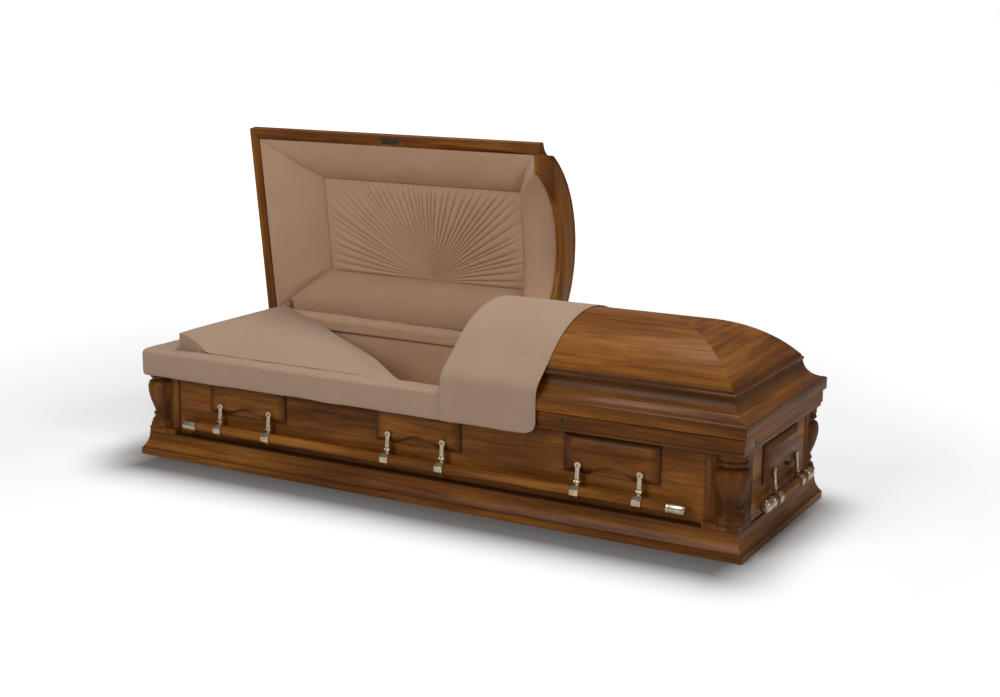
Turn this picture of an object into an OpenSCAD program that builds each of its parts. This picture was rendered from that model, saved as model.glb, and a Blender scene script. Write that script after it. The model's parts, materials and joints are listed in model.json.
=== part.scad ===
// Half-couch wooden coffin: mitred mouldings, raised panels, carved corner urns, swing bars,
// two domed lids on rear hinges and a cloth interior. The head lid stands open, the foot lid is shut.
// X runs along the coffin with the foot end at +X, the hinged side is +Y, the floor is z = 0.

/* [Case] */
// Length of the base over its mouldings
coffin_l = 2134; // [1800:1:2570]
// Width of the base over its mouldings
coffin_w = 711; // [620:1:860]
// Height of the top of the rails
rail_top = 347; // [320:1:420]
// Thickness of the side and end boards
board_t = 18; // [14:1:22]
// Thickness of the bottom board
bottom_t = 15; // [10:1:24]
// Distance of the side board's face from the edge of the base
side_inset = 50; // [42:1:54]
// Distance of the end board's face from the edge of the base
end_inset = 26; // [24:1:34]

/* [Base moulding] */
// Height of the base moulding
base_h = 78; // [70:1:100]
// Height of its upright lower band
band_h = 22; // [12:1:30]
// How far the moulding steps in at its top
ogee_in = 22; // [16:1:28]

/* [Rails] */
// Height of the rail's face
rail_h = 39; // [30:1:50]
// Height of the thin strip under the rail
strip_h = 12; // [8:1:16]
// Distance of the rail's face from the edge of the base
rail_inset = 10; // [6:1:14]
// Depth of the rails and base mouldings, from the edge of the base
rail_depth = 68; // [66:1:80]

/* [Corner posts] */
// Length of the post along the side
post_side = 130; // [118:1:150]
// Length of the post along the end
post_end = 125; // [115:1:140]
// Distance of the urn's axis from both edges of the base
urn_inset = 58; // [57:1:64]
// Largest radius of the urn
urn_r = 52; // [44:1:54]
// Height of the plinth block under the post
plinth_h = 18; // [10:1:30]

/* [Panels] */
// Width of the side panels
panel_w = 300; // [240:2:360]
// Width of the end panels
end_panel_w = 291; // [240:1:360]
// Height of the panels
panel_h = 113; // [90:1:120]
// How far a panel's field stands off its board
panel_t = 15; // [10:1:18]
// Distance between the centres of the side panels
panel_pitch = 649; // [500:1:700]
// Half the span of the arch cut in a panel's lower edge
arch_half = 62; // [40:1:80]
// Height of that arch above the panel's lower edge
arch_rise = 30; // [10:1:40]

/* [Swing bars] */
// Size of the rod across its flats
rod_flats = 31; // [26:1:36]
// Distance of the rod's axis in front of the panel field
bar_out = 14.5; // [12:0.5:24]
// Distance of the rod's axis below a panel's lower edge
rod_drop = 50; // [48:0.5:54]
// Length of a side bar over its tips
bar_side_l = 1785; // [1500:5:1800]
// Length of an end bar over its tips
bar_end_l = 400; // [360:5:480]
// Length of a metal tip
tip_l = 56; // [40:1:70]
// Distance of an ear from the middle of its panel
ear_off = 97.5; // [90:0.5:110]
// Radius of the pin that an arm swings on
pin_r = 2.5; // [2:0.1:3]

/* [Lids] */
// Place of the cut between the lids
split_x = 102; // [60:1:160]
// Width of the cut between the lids
lid_gap = 8; // [7:0.5:12]
// Shadow gap between a lid and the rails
rim_gap = 3; // [3:0.1:4]
// Height of a lid over its rim
lid_h = 243; // [200:1:280]
// Height of the lid's moulded frame
frame_h = 112; // [100:1:130]
// Width of the rim under the frame
rim_w = 35.5; // [30:0.5:42]
// Distance of the rim's face from the edge of the base
rim_inset = 2.5; // [2:0.5:5]
// Distance of the crown's foot from the edge of the base
crown_inset = 68; // [66:1:76]
// Thickness of the crown boards
crown_t = 12; // [8:1:18]
// Thickness of the arched header boards
header_t = 18; // [12:1:24]
// Half the span of the arch in a header
header_half = 260; // [220:1:270]
// Height of that arch over the rim
header_rise = 135; // [100:1:145]
// Angle that the head lid stands open
open_deg = 82.5; // [0:0.5:88]

/* [Hinges and locks] */
// Radius of a hinge barrel
barrel_r = 3.4; // [3.2:0.1:3.6]
// Radius of a hinge pin
hinge_pin_r = 2; // [1.6:0.1:2.2]
// Length of one hinge
hinge_l = 90; // [60:2:120]
// Distance of the outermost hinges' middles from the ends of the base
hinge_inset = 217; // [120:1:300]
// Thickness of a hinge leaf
leaf_t = 1.2; // [1:0.05:1.3]
// Place of the catch along the front rail
catch_x = 510; // [400:1:700]
// Place of the latch plate along the head lid's rim
latch_x = -470; // [-700:1:-200]
// Distance of the key socket from the middle of the foot end
lock_off = 249.5; // [100:0.5:270]
// Radius of the key socket in the foot rail
key_r = 4; // [3:0.5:5]
// Depth of the key socket
key_depth = 20; // [14:1:26]

/* [Interior] */
// Thickness of the cloth lining on the walls
lining_t = 13; // [8:1:20]
// Height of the mattress top
bed_z = 190; // [150:1:240]
// Height of the pillow over the rails at the head end
pillow_high = 73; // [53:1:83]
// Height of the pillow over the rails at its foot corner
pillow_low = 19; // [17:1:33]
// How far the cloth band hangs below the rails' top
band_drop = 72; // [57:1:82]
// Thickness of the cloth band on top of the rail
band_t = 12.7; // [8:0.1:16]
// Half width of the sunburst panel's recess over the rim, front side
burst_front = 165; // [140:1:190]
// Half width of that recess, hinge side
burst_rear = 178; // [150:1:200]
// Depth of the recess over the rim
burst_depth = 102; // [80:1:104]
// Width of the padded roll at the lid's head end
roll_head = 237; // [160:1:260]
// Width of the padded roll beside the header
roll_foot = 110; // [80:1:140]
// Half width of the lining roll along the hinge side
rear_roll_r = 26; // [18:1:28]
// Radius of the cloth boot over the lid's support
boot_r = 12; // [8:1:14]
// Height of that boot
boot_h = 85; // [50:1:110]

/* [Throw] */
// Width of the throw along the coffin
throw_w = 321; // [200:1:400]
// Thickness of the throw
throw_t = 2.4; // [1.5:0.1:2.6]
// How far the throw hangs below the rails' top in front
throw_drop = 70; // [27:1:87]

/* [Hidden] */
half_l = coffin_l / 2;
half_w = coffin_w / 2;
fit = 0.3;                                  // clearance round cloth and seats
joint_fit = 0.1;                            // clearance of a pin in its bore
strip_z = rail_top - rail_h - strip_h;
board_h = strip_z - base_h;
side_y = half_w - side_inset;               // face of a side board
side_in = side_y - board_t;                 // inner face of a side board
end_x = half_l - end_inset;                 // face of an end board
end_in = end_x - board_t;
rail_in_x = half_l - rail_depth;
rail_in_y = half_w - rail_depth;
arc_steps = 10;
crown_steps = 22;
stack = 2000;                               // taller than the coffin

rim_z = rail_top + rim_gap;
top_z = rim_z + lid_h;
crown_z = rim_z + frame_h;                  // foot of the crown
crown_half = half_w - crown_inset;
crown_rise = top_z - crown_z;
crown_r = (crown_half * crown_half + crown_rise * crown_rise) / (2 * crown_rise);
crown_mid = top_z - crown_r;
rim_in = rim_inset + rim_w;
rim_up = 34;                                // height of the rim's upright faces
head_cut = split_x - lid_gap / 2;
foot_cut = split_x + lid_gap / 2;

hinge_y = half_w - rim_inset + barrel_r + 1.1;
hinge_z = rail_top + rim_gap / 2;
head_hinges = [hinge_inset - half_l, -90];
foot_hinges = [300, half_l - hinge_inset];

field_y = side_y + panel_t;                 // face of a side panel's field
field_x = end_x + panel_t;
panel_top = strip_z - 11;
panel_low = panel_top - panel_h;
rod_z = panel_low - rod_drop;
knuckle_r = 6.5;
knuckle_w = 8;
fork_w = 18.4;
clip_t = 4;
clip_w = 28;
pin_z = rod_z + rod_flats / 2 + clip_t + knuckle_r + 1.5;
pin_y = -(bar_out - 6);
ear_top = pin_z + 60;
ear_eye = ear_top - 11;
side_ears = [for (c = [-1, 0, 1], s = [-1, 1]) c * panel_pitch + s * ear_off];
end_ears = [-ear_off, ear_off];
tip_r = rod_flats / 2 + 4;

catch_size = [18, 6, 12];
catch_z = rail_top - 19;
lock_y = -lock_off;
lock_z = rail_top - rail_h / 2 - 8;
lock_plate = [3, 26, 16];
latch_size = [70, 22, 2];

band_low = rail_top - band_drop;
throw_low = rail_top - throw_drop;
band_inner = rail_depth + lining_t + 2 * fit;   // inner face of the cloth band's tucked edge
band_back = band_inner + 8;
bed_x = rail_in_x - lining_t - 2 * fit;
bed_y = rail_in_y - lining_t - 2 * fit;

wood = [0.50, 0.30, 0.14];
dark_wood = [0.40, 0.23, 0.11];
brass = [0.80, 0.70, 0.50];
bronze = [0.22, 0.19, 0.15];
cloth = [0.68, 0.55, 0.46];
pink_cloth = [0.66, 0.48, 0.40];

// A profile lies in [inset from the edge of the base, height].
function reversed(list) = [for (k = [len(list) - 1:-1:0]) list[k]];

function arc_points(centre, r, from, to, steps) =
    [for (k = [0:steps]) let (a = from + (to - from) * k / steps) centre + r * [cos(a), sin(a)]];

// Outline of a body whose two flanks both follow the profile
function hill_points(half, profile) =
    concat([for (p = profile) [p[0] - half, p[1]]],
        [for (p = reversed(profile)) [half - p[0], p[1]]]);

function ogee_profile() = let (w = ogee_in, h = base_h - band_h) [
    [0, 0], [0, band_h], [0.15 * w, band_h + 2], [0.41 * w, band_h + 0.2 * h],
    [0.68 * w, band_h + 0.4 * h], [0.84 * w, band_h + 0.6 * h], [0.93 * w, band_h + 0.84 * h], [w, base_h]
];

function base_profile() = concat(ogee_profile(), [[rail_depth, base_h], [rail_depth, 0]]);

function rail_profile() = [
    [rail_inset + 4, strip_z], [rail_inset + 4, strip_z + strip_h - 1], [rail_inset, strip_z + strip_h],
    [rail_inset, rail_top - 1.5], [rail_inset + 1.5, rail_top],
    [rail_depth, rail_top], [rail_depth, strip_z]
];

// Arc of the crown from its foot up to the middle, set in by off
function crown_profile(off) = let (r = crown_r - off, widest = acos((crown_z - crown_mid) / r))
    [for (k = [0:crown_steps]) let (a = widest * (1 - k / crown_steps))
        [half_w - r * sin(a), crown_mid + r * cos(a)]];

function crown_foot(off) = crown_profile(off)[0][0];

function cove_points() = let (
        low = [rim_inset + 7, rim_z + rim_up + 4], high = [crown_inset - 5, crown_z - 18],
        r = ((high[0] - low[0]) ^ 2 + (high[1] - low[1]) ^ 2) / (2 * (high[0] - low[0])) * 1.12,
        mid = (low + high) / 2, d = (high - low) / norm(high - low),
        sag = sqrt(r * r - (norm(high - low) / 2) ^ 2), centre = mid + sag * [-d[1], d[0]],
        from = atan2(low[1] - centre[1], low[0] - centre[0]),
        to = atan2(high[1] - centre[1], high[0] - centre[0]))
    arc_points(centre, r, from, to, arc_steps);

function frame_profile() = concat([
    [rim_inset, rim_z], [rim_inset, rim_z + rim_up], [rim_inset + 3, rim_z + rim_up + 2.5]],
    cove_points(), [
    [crown_inset - 7, crown_z - 15], [crown_inset - 8, crown_z - 12], [crown_inset - 7, crown_z - 8],
    [crown_inset - 4, crown_z - 6], [crown_inset - 1.5, crown_z - 6], [crown_inset - 1.5, crown_z]
]);

function frame_hollow() = [
    [rim_in, rim_z], [rim_in, rim_z + rim_up], [crown_foot(crown_t), crown_z - 10],
    [crown_foot(crown_t), crown_z]
];

// Outline of the space inside a lid's frame and crown, set in by off
function lid_space(off) = concat([
    [rim_in + off, rim_z], [rim_in + off, rim_z + rim_up], [crown_foot(crown_t) + off, crown_z - 10]],
    crown_profile(crown_t + off));

// Carries a flat shape along X, its x to Y and its y to Z.
module along_x(run) {
    translate([-run / 2, 0, 0]) rotate([90, 0, 90]) linear_extrude(run) children();
}

// Carries a flat shape along Y, its x to X and its y to Z.
module along_y(run) {
    translate([0, run / 2, 0]) rotate([90, 0, 0]) linear_extrude(run) children();
}

// Solid with the same profile up all four sides, its corners mitred
module hipped(profile) {
    intersection() {
        along_x(coffin_l) polygon(hill_points(half_w, profile));
        along_y(coffin_w) polygon(hill_points(half_l, profile));
    }
}

module beyond(x) {
    translate([x, -half_w - 10, 0]) cube([coffin_l * 2, coffin_w + 20, stack]);
}

module before(x) {
    translate([x - coffin_l * 2, -half_w - 10, 0]) cube([coffin_l * 2, coffin_w + 20, stack]);
}

// Moulding along the front, its ends cut at 45 degrees
module front_run(profile, depth) {
    intersection() {
        translate([0, -half_w, 0]) along_x(coffin_l) polygon(profile);
        linear_extrude(stack) polygon([
            [-half_l, -half_w], [half_l, -half_w],
            [half_l - depth, depth - half_w], [depth - half_l, depth - half_w]
        ]);
    }
}

// Moulding along the foot end, its ends cut at 45 degrees
module foot_run(profile, depth) {
    intersection() {
        mirror([1, 0, 0]) translate([-half_l, 0, 0]) along_y(coffin_w) polygon(profile);
        linear_extrude(stack) polygon([
            [half_l, -half_w], [half_l, half_w],
            [half_l - depth, half_w - depth], [half_l - depth, depth - half_w]
        ]);
    }
}

// Puts what stands on the front on the named side, out from its panel field.
module on_side(side) {
    if (side == "front") translate([0, -field_y, 0]) children();
    if (side == "rear") rotate([0, 0, 180]) translate([0, -field_y, 0]) children();
    if (side == "foot") rotate([0, 0, 90]) translate([0, -field_x, 0]) children();
    if (side == "head") rotate([0, 0, -90]) translate([0, -field_x, 0]) children();
}

module opened() {
    translate([0, hinge_y, hinge_z]) rotate([-open_deg, 0, 0]) translate([0, -hinge_y, -hinge_z]) children();
}

// ---- case ----

module bottom_board() {
    color(dark_wood) translate([-rail_in_x, -rail_in_y, 0]) cube([2 * rail_in_x, 2 * rail_in_y, bottom_t]);
}

module base_long() {
    color(wood) front_run(base_profile(), rail_depth);
}

module base_end() {
    color(wood) foot_run(base_profile(), rail_depth);
}

module side_board() {
    color(wood) translate([post_side - half_l, -side_y, base_h])
        cube([2 * (half_l - post_side), board_t, board_h]);
}

module end_board() {
    color(wood) translate([end_in, post_end - half_w, base_h])
        cube([board_t, 2 * (half_w - post_end), board_h]);
}

function urn_outline() = let (low = base_h + plinth_h, tall = strip_z - low, s = tall / 200, foot = urn_r - 6)
    concat([[0, 0], [foot, 0], [foot, 9 * s], [foot - 3, 11 * s], [foot - 3, 15 * s]],
        arc_points([foot - 2, 34 * s], 11 * s, -110, -180, 4),
        [[foot - 13, 38 * s], [urn_r - 16, 40 * s], [urn_r - 16, 46 * s], [urn_r - 21, 49 * s]],
        [for (k = [0:arc_steps]) [urn_r - 21 * (1 - sin(90 * k / arc_steps)), (54 + 80 * k / arc_steps) * s]],
        [[urn_r, 141 * s], [urn_r - 3, 148 * s], [urn_r - 3, 152 * s], [urn_r - 9, 157 * s],
        [urn_r - 18, 161 * s], [urn_r - 18, 164 * s], [urn_r - 9, 168 * s], [urn_r - 7, 172 * s],
        [urn_r - 9, 177 * s], [urn_r - 14, 179 * s], [urn_r - 14, 182 * s], [urn_r - 8, 185 * s],
        [urn_r - 8, 200 * s], [0, 200 * s]]);

// Corner post with its urn, for the front foot corner
module corner_post() {
    low = base_h + plinth_h;
    side_leg = rail_depth - side_inset + 4;
    end_leg = board_t + 4;
    color(wood) translate([half_l, -half_w, 0]) difference() {
        union() {
            translate([-post_side, ogee_in, base_h])
                cube([post_side - ogee_in, post_end - ogee_in, plinth_h]);
            translate([0, 0, low]) linear_extrude(strip_z - low) polygon([
                [-post_side, side_inset - 4], [-urn_inset, side_inset - 4], [2 - end_inset, urn_inset],
                [2 - end_inset, post_end], [-post_side, post_end]
            ]);
            translate([-urn_inset, urn_inset, low]) rotate_extrude($fn = 96) polygon(urn_outline());
        }
        translate([-coffin_l, side_inset - 4 + side_leg, 0])
            cube([coffin_l - (end_inset - 2) - end_leg, coffin_w, stack]);
    }
}

module rail_long() {
    color(dark_wood) front_run(rail_profile(), rail_depth);
}

module rail_end() {
    color(dark_wood) foot_run(rail_profile(), rail_depth);
}

module catch_block(grow) {
    translate([catch_x - catch_size[0] / 2, rail_inset - half_w - grow, catch_z - catch_size[2] / 2])
        cube(catch_size + [0, grow, 0]);
}

module rail_front() {
    difference() {
        rail_long();
        catch_block(1);
    }
}

module rail_catch() {
    color(bronze) difference() {
        catch_block(0);
        translate([catch_x, rail_inset - half_w - 1, catch_z]) rotate([-90, 0, 0])
            cylinder(r = 3.5, h = catch_size[1], $fn = 32);
    }
}

// Key socket: a plate let into the foot rail with a tube behind it
module lock_body(grow) {
    face = half_l - rail_inset;
    translate([face - lock_plate[0], lock_y - lock_plate[1] / 2, lock_z - lock_plate[2] / 2])
        cube(lock_plate + [grow, 0, 0]);
    translate([face - key_depth, lock_y, lock_z]) rotate([0, 90, 0])
        cylinder(r = key_r + 2.5, h = key_depth, $fn = 48);
}

module rail_foot() {
    difference() {
        rail_end();
        lock_body(1);
    }
}

module end_lock() {
    color(bronze) difference() {
        lock_body(0);
        translate([half_l - rail_inset - key_depth - 1, lock_y, lock_z]) rotate([0, 90, 0])
            cylinder(r = key_r, h = key_depth + 2, $fn = 48);
    }
}

// ---- panels and swing bars, drawn in front of the panel field at y = 0 ----

module raised_panel(w) {
    edge = 4;
    bevel = 32;
    bevel_z = 18;
    arch_z = panel_low + 6;
    arch_top = panel_low + arch_rise - arch_z;
    arch_r = (arch_half * arch_half + arch_top * arch_top) / (2 * arch_top);
    span = asin(arch_half / arch_r);
    color(wood) intersection() {
        translate([0, panel_t / 2, 0]) along_y(panel_t) polygon(concat(
            [[-w / 2, panel_low], [-arch_half - 6, panel_low], [-arch_half - 6, arch_z]],
            arc_points([0, arch_z + arch_top - arch_r], arch_r, 90 + span, 90 - span, 16),
            [[arch_half + 6, arch_z], [arch_half + 6, panel_low], [w / 2, panel_low],
            [w / 2, panel_top], [-w / 2, panel_top]]));
        along_x(w) polygon([
            [panel_t, panel_low], [panel_t - edge, panel_low], [0, panel_low + bevel_z],
            [0, panel_top - bevel_z], [panel_t - edge, panel_top], [panel_t, panel_top]
        ]);
        linear_extrude(stack) polygon([
            [-w / 2, panel_t], [-w / 2, panel_t - edge], [bevel - w / 2, 0], [w / 2 - bevel, 0],
            [w / 2, panel_t - edge], [w / 2, panel_t]
        ]);
    }
}

module side_panel(place) {
    translate([place * panel_pitch, 0, 0]) raised_panel(panel_w);
}

module on_pin() {
    translate([0, pin_y, pin_z]) rotate([0, 90, 0]) children();
}

// Swan-necked ear: an eye screwed to the panel, and a fork that holds the pin
module ear() {
    neck_w = 13;
    steps = 12;
    drop = ear_eye - pin_z;
    centre = [for (k = [0:steps]) let (t = k / steps)
        [-5 + (pin_y + 5) * (1 - cos(180 * t)) / 2, ear_eye - drop * t]];
    difference() {
        union() {
            translate([0, -9, ear_eye]) rotate([-90, 0, 0]) cylinder(r = 10, h = 9, $fn = 48);
            along_x(neck_w) polygon(concat([for (p = centre) p + [4, 0]],
                [for (p = reversed(centre)) p - [4, 0]]));
            on_pin() cylinder(r = knuckle_r, h = fork_w, center = true, $fn = 48);
        }
        translate([0, -10, ear_eye]) rotate([-90, 0, 0]) cylinder(r = 5, h = 5, $fn = 32);
        translate([0, pin_y, pin_z])
            cube([knuckle_w + 2 * fit, 3.2 * knuckle_r, 2 * knuckle_r + 2], center = true);
    }
    on_pin() cylinder(r = pin_r, h = fork_w - 1, center = true, $fn = 48);
}

module rod_shape(flats, run) {
    translate([0, -bar_out, rod_z]) rotate([0, 90, 0]) rotate([0, 0, 22.5])
        cylinder(r = flats / 2 / cos(22.5), h = run, center = true, $fn = 8);
}

// Clip round the rod, hung from the fork's pin
module arm() {
    difference() {
        union() {
            rod_shape(rod_flats + 2 * clip_t, clip_w);
            on_pin() cylinder(r = knuckle_r, h = knuckle_w, center = true, $fn = 48);
            translate([-knuckle_w / 2, pin_y - knuckle_r + 1, rod_z + rod_flats / 2 + 1])
                cube([knuckle_w, 2 * knuckle_r - 2, pin_z - rod_z - rod_flats / 2 - 1]);
        }
        rod_shape(rod_flats, clip_w + 2);
        on_pin() cylinder(r = pin_r + joint_fit, h = knuckle_w + 2, center = true, $fn = 48);
    }
}

// Metal tip on the rod's end at x = 0, pointing along +X
module tip() {
    translate([0, -bar_out, rod_z]) rotate([0, 90, 0]) rotate_extrude($fn = 64) polygon(concat(
        [[0, 0], [tip_r, 0], [tip_r, 7], [tip_r - 2.5, 8.5], [tip_r - 2.5, 11], [tip_r - 0.5, 12.5]],
        arc_points([tip_r - 7.5, tip_l - 7], 7, 0, 90, 5), [[0, tip_l]]));
}

module ears(places) {
    color(brass) for (x = places) translate([x, 0, 0]) ear();
}

module rod(run) {
    color(wood) rod_shape(rod_flats, run - 2 * tip_l);
}

module fittings(places, run) {
    color(brass) {
        for (x = places) translate([x, 0, 0]) arm();
        for (s = [0, 1])
            mirror([s, 0, 0]) translate([run / 2 - tip_l, 0, 0]) tip();
    }
}

// ---- hinges, drawn shut ----

module knuckle(x, run, r) {
    translate([x, hinge_y, hinge_z]) rotate([0, 90, 0]) cylinder(r = r, h = run, center = true, $fn = 48);
}

module leaf(x, low, run) {
    translate([x - hinge_l / 2, hinge_y - 34, low]) cube([hinge_l, 34 - barrel_r - 0.5, leaf_t]);
    translate([x - run / 2, hinge_y - 6, low]) cube([run, 6, leaf_t]);
}

module hinges_body() {
    outer = hinge_l / 3;
    color(brass) for (x = concat(head_hinges, foot_hinges)) {
        difference() {
            union() {
                leaf(x, rail_top, hinge_l);
                for (s = [-1, 1]) knuckle(x + s * outer, outer, barrel_r);
            }
            knuckle(x, outer, barrel_r + 0.4);
        }
        knuckle(x, hinge_l - 2, hinge_pin_r);
    }
}

module lid_hinges(places) {
    inner = hinge_l / 3 - 2 * fit;
    color(brass) for (x = places) difference() {
        union() {
            leaf(x, rim_z - leaf_t, inner);
            knuckle(x, inner, barrel_r);
        }
        knuckle(x, inner + 2, hinge_pin_r + joint_fit);
    }
}

// ---- lids, drawn shut ----

module lid_frame() {
    color(wood) difference() {
        hipped(frame_profile());
        hipped(concat([[rim_in, rim_z - 1]], frame_hollow(), [[crown_foot(crown_t), crown_z + 5]]));
    }
}

module lid_crown() {
    color(wood) difference() {
        hipped(crown_profile(0));
        hipped(concat([[crown_foot(crown_t), crown_z - 1]], crown_profile(crown_t)));
    }
}

// Arched board that closes a lid at the cut, from x = 0 to its thickness
module header() {
    arch_r = (header_half * header_half + header_rise * header_rise) / (2 * header_rise);
    span = asin(header_half / arch_r);
    color(dark_wood) translate([header_t / 2, 0, 0]) along_x(header_t) difference() {
        polygon(hill_points(half_w, lid_space(0)));
        polygon(concat([[header_half, rim_z - 5], [-header_half, rim_z - 5]],
            arc_points([0, rim_z + header_rise - arch_r], arch_r, 90 + span, 90 - span, 32)));
    }
}

module latch_block(grow) {
    translate([latch_x - latch_size[0] / 2, rim_inset - half_w + 7, rim_z - grow])
        cube(latch_size + [0, 0, grow]);
}

module head_lid_frame() {
    opened() difference() {
        intersection() {
            lid_frame();
            before(head_cut);
        }
        latch_block(1);
    }
}

module latch_plate() {
    color(bronze) opened() difference() {
        latch_block(0);
        translate([latch_x, rim_inset - half_w + 7 + latch_size[1] / 2, rim_z - 1]) {
            for (s = [-26, 26]) translate([s, 0, 0]) cylinder(r = 2.5, h = latch_size[2], $fn = 24);
            translate([-14, -5, 0]) cube([28, 10, latch_size[2]]);
        }
    }
}

module head_lid_header() {
    opened() translate([head_cut - header_t, 0, 0]) header();
}

module head_lid_crown() {
    opened() intersection() {
        lid_crown();
        before(head_cut);
    }
}

// Edges of the sunburst's recess along the coffin
burst_head = roll_head - half_l;
burst_foot = head_cut - header_t - roll_foot;

// Four padded rolls round the sunburst, their faces sloping in from the rim
module head_lid_rolls() {
    face = rim_z + 3;
    back = rim_z + burst_depth + 4;
    rim_y = half_w - rim_in - fit;
    color(cloth) opened() difference() {
        intersection() {
            hipped(lid_space(fit));
            before(head_cut - header_t - fit);
            translate([-coffin_l, -coffin_w, face]) cube([2 * coffin_l, 2 * coffin_w, back - face]);
        }
        intersection() {
            along_x(coffin_l) polygon([
                [-rim_y + 3, face - 0.1], [-burst_front, back - 4], [-burst_front, back + 1],
                [burst_rear, back + 1], [burst_rear, back - 4], [rim_y - 3, face - 0.1]
            ]);
            along_y(coffin_w) polygon([
                [rim_in + fit + 3 - half_l, face - 0.1], [burst_head, back - 4], [burst_head, back + 1],
                [burst_foot, back + 1], [burst_foot, back - 4], [head_cut - header_t - 3, face - 0.1]
            ]);
        }
    }
}

module head_lid_sunburst() {
    back = rim_z + burst_depth;
    color(pink_cloth) opened() translate([burst_head + fit, fit - burst_front, back])
        cube([burst_foot - burst_head - 2 * fit, burst_front + burst_rear - 2 * fit, 4]);
}

module foot_lid_frame() {
    intersection() {
        lid_frame();
        beyond(foot_cut);
    }
}

module foot_lid_header() {
    translate([foot_cut, 0, 0]) header();
}

module foot_lid_crown() {
    intersection() {
        lid_crown();
        beyond(foot_cut);
    }
}

module foot_lid_lining() {
    outer = crown_profile(crown_t + fit);
    inner = crown_profile(crown_t + 9);
    color(cloth) intersection() {
        difference() {
            hipped(outer);
            hipped(concat([[inner[0][0], crown_z - 1]], inner));
        }
        beyond(foot_cut + header_t + fit);
    }
}

// Cloth laid over the foot lid: it bridges the cove, hangs down in front and stops at the hinge side's lip.
module throw() {
    outer = half_w + throw_t + fit;
    lip = rim_z + 6;                        // where the cloth stops on the hinge side
    corner = rim_z + rim_up + 5;            // where it turns over the rim
    bead = [crown_foot(0) - half_w - 3, crown_z + 1.5];
    rest_z = crown_z + 12;                  // where it meets the crown
    skin = concat([[-half_w - fit, throw_low], [-half_w - fit, corner], bead],
        [for (p = crown_profile(-fit)) if (p[1] > rest_z) [p[0] - half_w, p[1]]]);
    cover = concat([[-outer, throw_low], [-outer, corner + 1], bead + [-2, 2]],
        [for (p = crown_profile(-fit - throw_t)) if (p[1] > rest_z) [p[0] - half_w, p[1]]]);
    color(cloth) translate([foot_cut + throw_w / 2, 0, 0]) along_x(throw_w) difference() {
        polygon(concat(cover, [for (p = reversed(cover)) [-p[0], max(p[1], lip)]]));
        polygon(concat([[-half_w - fit, throw_low - 5]], skin,
            [for (p = reversed(skin)) [-p[0], max(p[1], lip)]], [[half_w + fit, throw_low - 5]]));
    }
}

// ---- interior ----

module body_lining() {
    x = rail_in_x - fit;
    y = rail_in_y - fit;
    low = bottom_t + fit;
    color(pink_cloth) difference() {
        translate([-x, -y, low]) cube([2 * x, 2 * y, rail_top - fit - low]);
        translate([lining_t - x, lining_t - y, low - 1])
            cube([2 * (x - lining_t), 2 * (y - lining_t), stack]);
    }
}

module mattress() {
    color(cloth) translate([-bed_x, -bed_y, bottom_t + fit])
        cube([2 * bed_x, 2 * bed_y, bed_z - bottom_t - fit]);
}

// Long wedge pillow: high at the head end, its foot edge swept back towards the hinge side
module pillow() {
    head_x = band_back + fit - half_l;
    front_y = band_back + fit - half_w;
    rear_y = bed_y - 14;
    over = rail_top + band_t + 2 * fit;
    tip_x = head_cut - 161;
    sweep_x = tip_x - 577;
    color(cloth) intersection() {
        along_y(coffin_w) polygon([
            [head_x, bed_z + fit], [head_x, over], [head_x + 50, rail_top + pillow_high],
            [tip_x - 10, rail_top + pillow_low], [tip_x, bed_z + fit]
        ]);
        union() {
            linear_extrude(stack) polygon([
                [head_x, front_y], [tip_x - 20, front_y], [sweep_x, rear_y], [head_x, rear_y]
            ]);
            translate([0, 0, over]) linear_extrude(stack) polygon([
                [head_x, front_y - 35], [tip_x, front_y - 35], [tip_x - 20, front_y], [head_x, front_y]
            ]);
        }
    }
}

// Padded cloth band over the open half of the rails
module extendover() {
    face = rail_inset - 0.6;
    out = 1;
    top = rail_top + band_t;
    tuck = top - 55;
    profile = [
        [out, band_low], [out, top - 6], [out + 2, top - 2], [out + 6, top], [band_back - 5, top],
        [band_back, top - 5], [band_back, tuck], [band_inner, tuck], [band_inner, rail_top + fit],
        [face, rail_top + fit], [face, band_low]
    ];
    color(cloth) {
        intersection() {
            front_run(profile, band_back);
            before(head_cut - 10);
        }
        intersection() {
            mirror([1, 0, 0]) foot_run(profile, band_back);
            translate([-half_l - 1, -half_w, 0]) cube([band_back + 2, coffin_w - rim_in, stack]);
        }
    }
}

// Roll of lining that stands up along the hinge side
module rear_roll() {
    low = rail_top + fit;
    wall = 31;
    start = band_back + fit - half_l;
    run = head_cut - 8 - start;
    color(cloth) translate([start + run / 2, half_w - rim_in - 3 - rear_roll_r, low]) along_x(run) union() {
        translate([-rear_roll_r, 0]) square([2 * rear_roll_r, wall]);
        translate([0, wall]) circle(r = rear_roll_r, $fn = 48);
    }
}

module support_boot() {
    color(cloth) translate([band_back + 17 - half_l, half_w - rim_in + 14.5, rail_top + fit])
        cylinder(r = boot_r, h = boot_h, $fn = 32);
}

bottom_board();
base_long();  // base_front
mirror([0, 1, 0]) base_long();  // base_rear
mirror([1, 0, 0]) base_end();  // base_head
base_end();  // base_foot
side_board();  // side_front
mirror([0, 1, 0]) side_board();  // side_rear
mirror([1, 0, 0]) end_board();  // end_head
end_board();  // end_foot
corner_post();  // post_front_foot
mirror([1, 0, 0]) corner_post();  // post_front_head
mirror([0, 1, 0]) corner_post();  // post_rear_foot
rotate([0, 0, 180]) corner_post();  // post_rear_head
rail_front();
mirror([0, 1, 0]) rail_long();  // rail_rear
mirror([1, 0, 0]) rail_end();  // rail_head
rail_foot();
on_side("front") side_panel(-1);  // panel_front_head
on_side("front") side_panel(0);  // panel_front_middle
on_side("front") side_panel(1);  // panel_front_foot
on_side("rear") side_panel(1);  // panel_rear_head
on_side("rear") side_panel(0);  // panel_rear_middle
on_side("rear") side_panel(-1);  // panel_rear_foot
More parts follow.
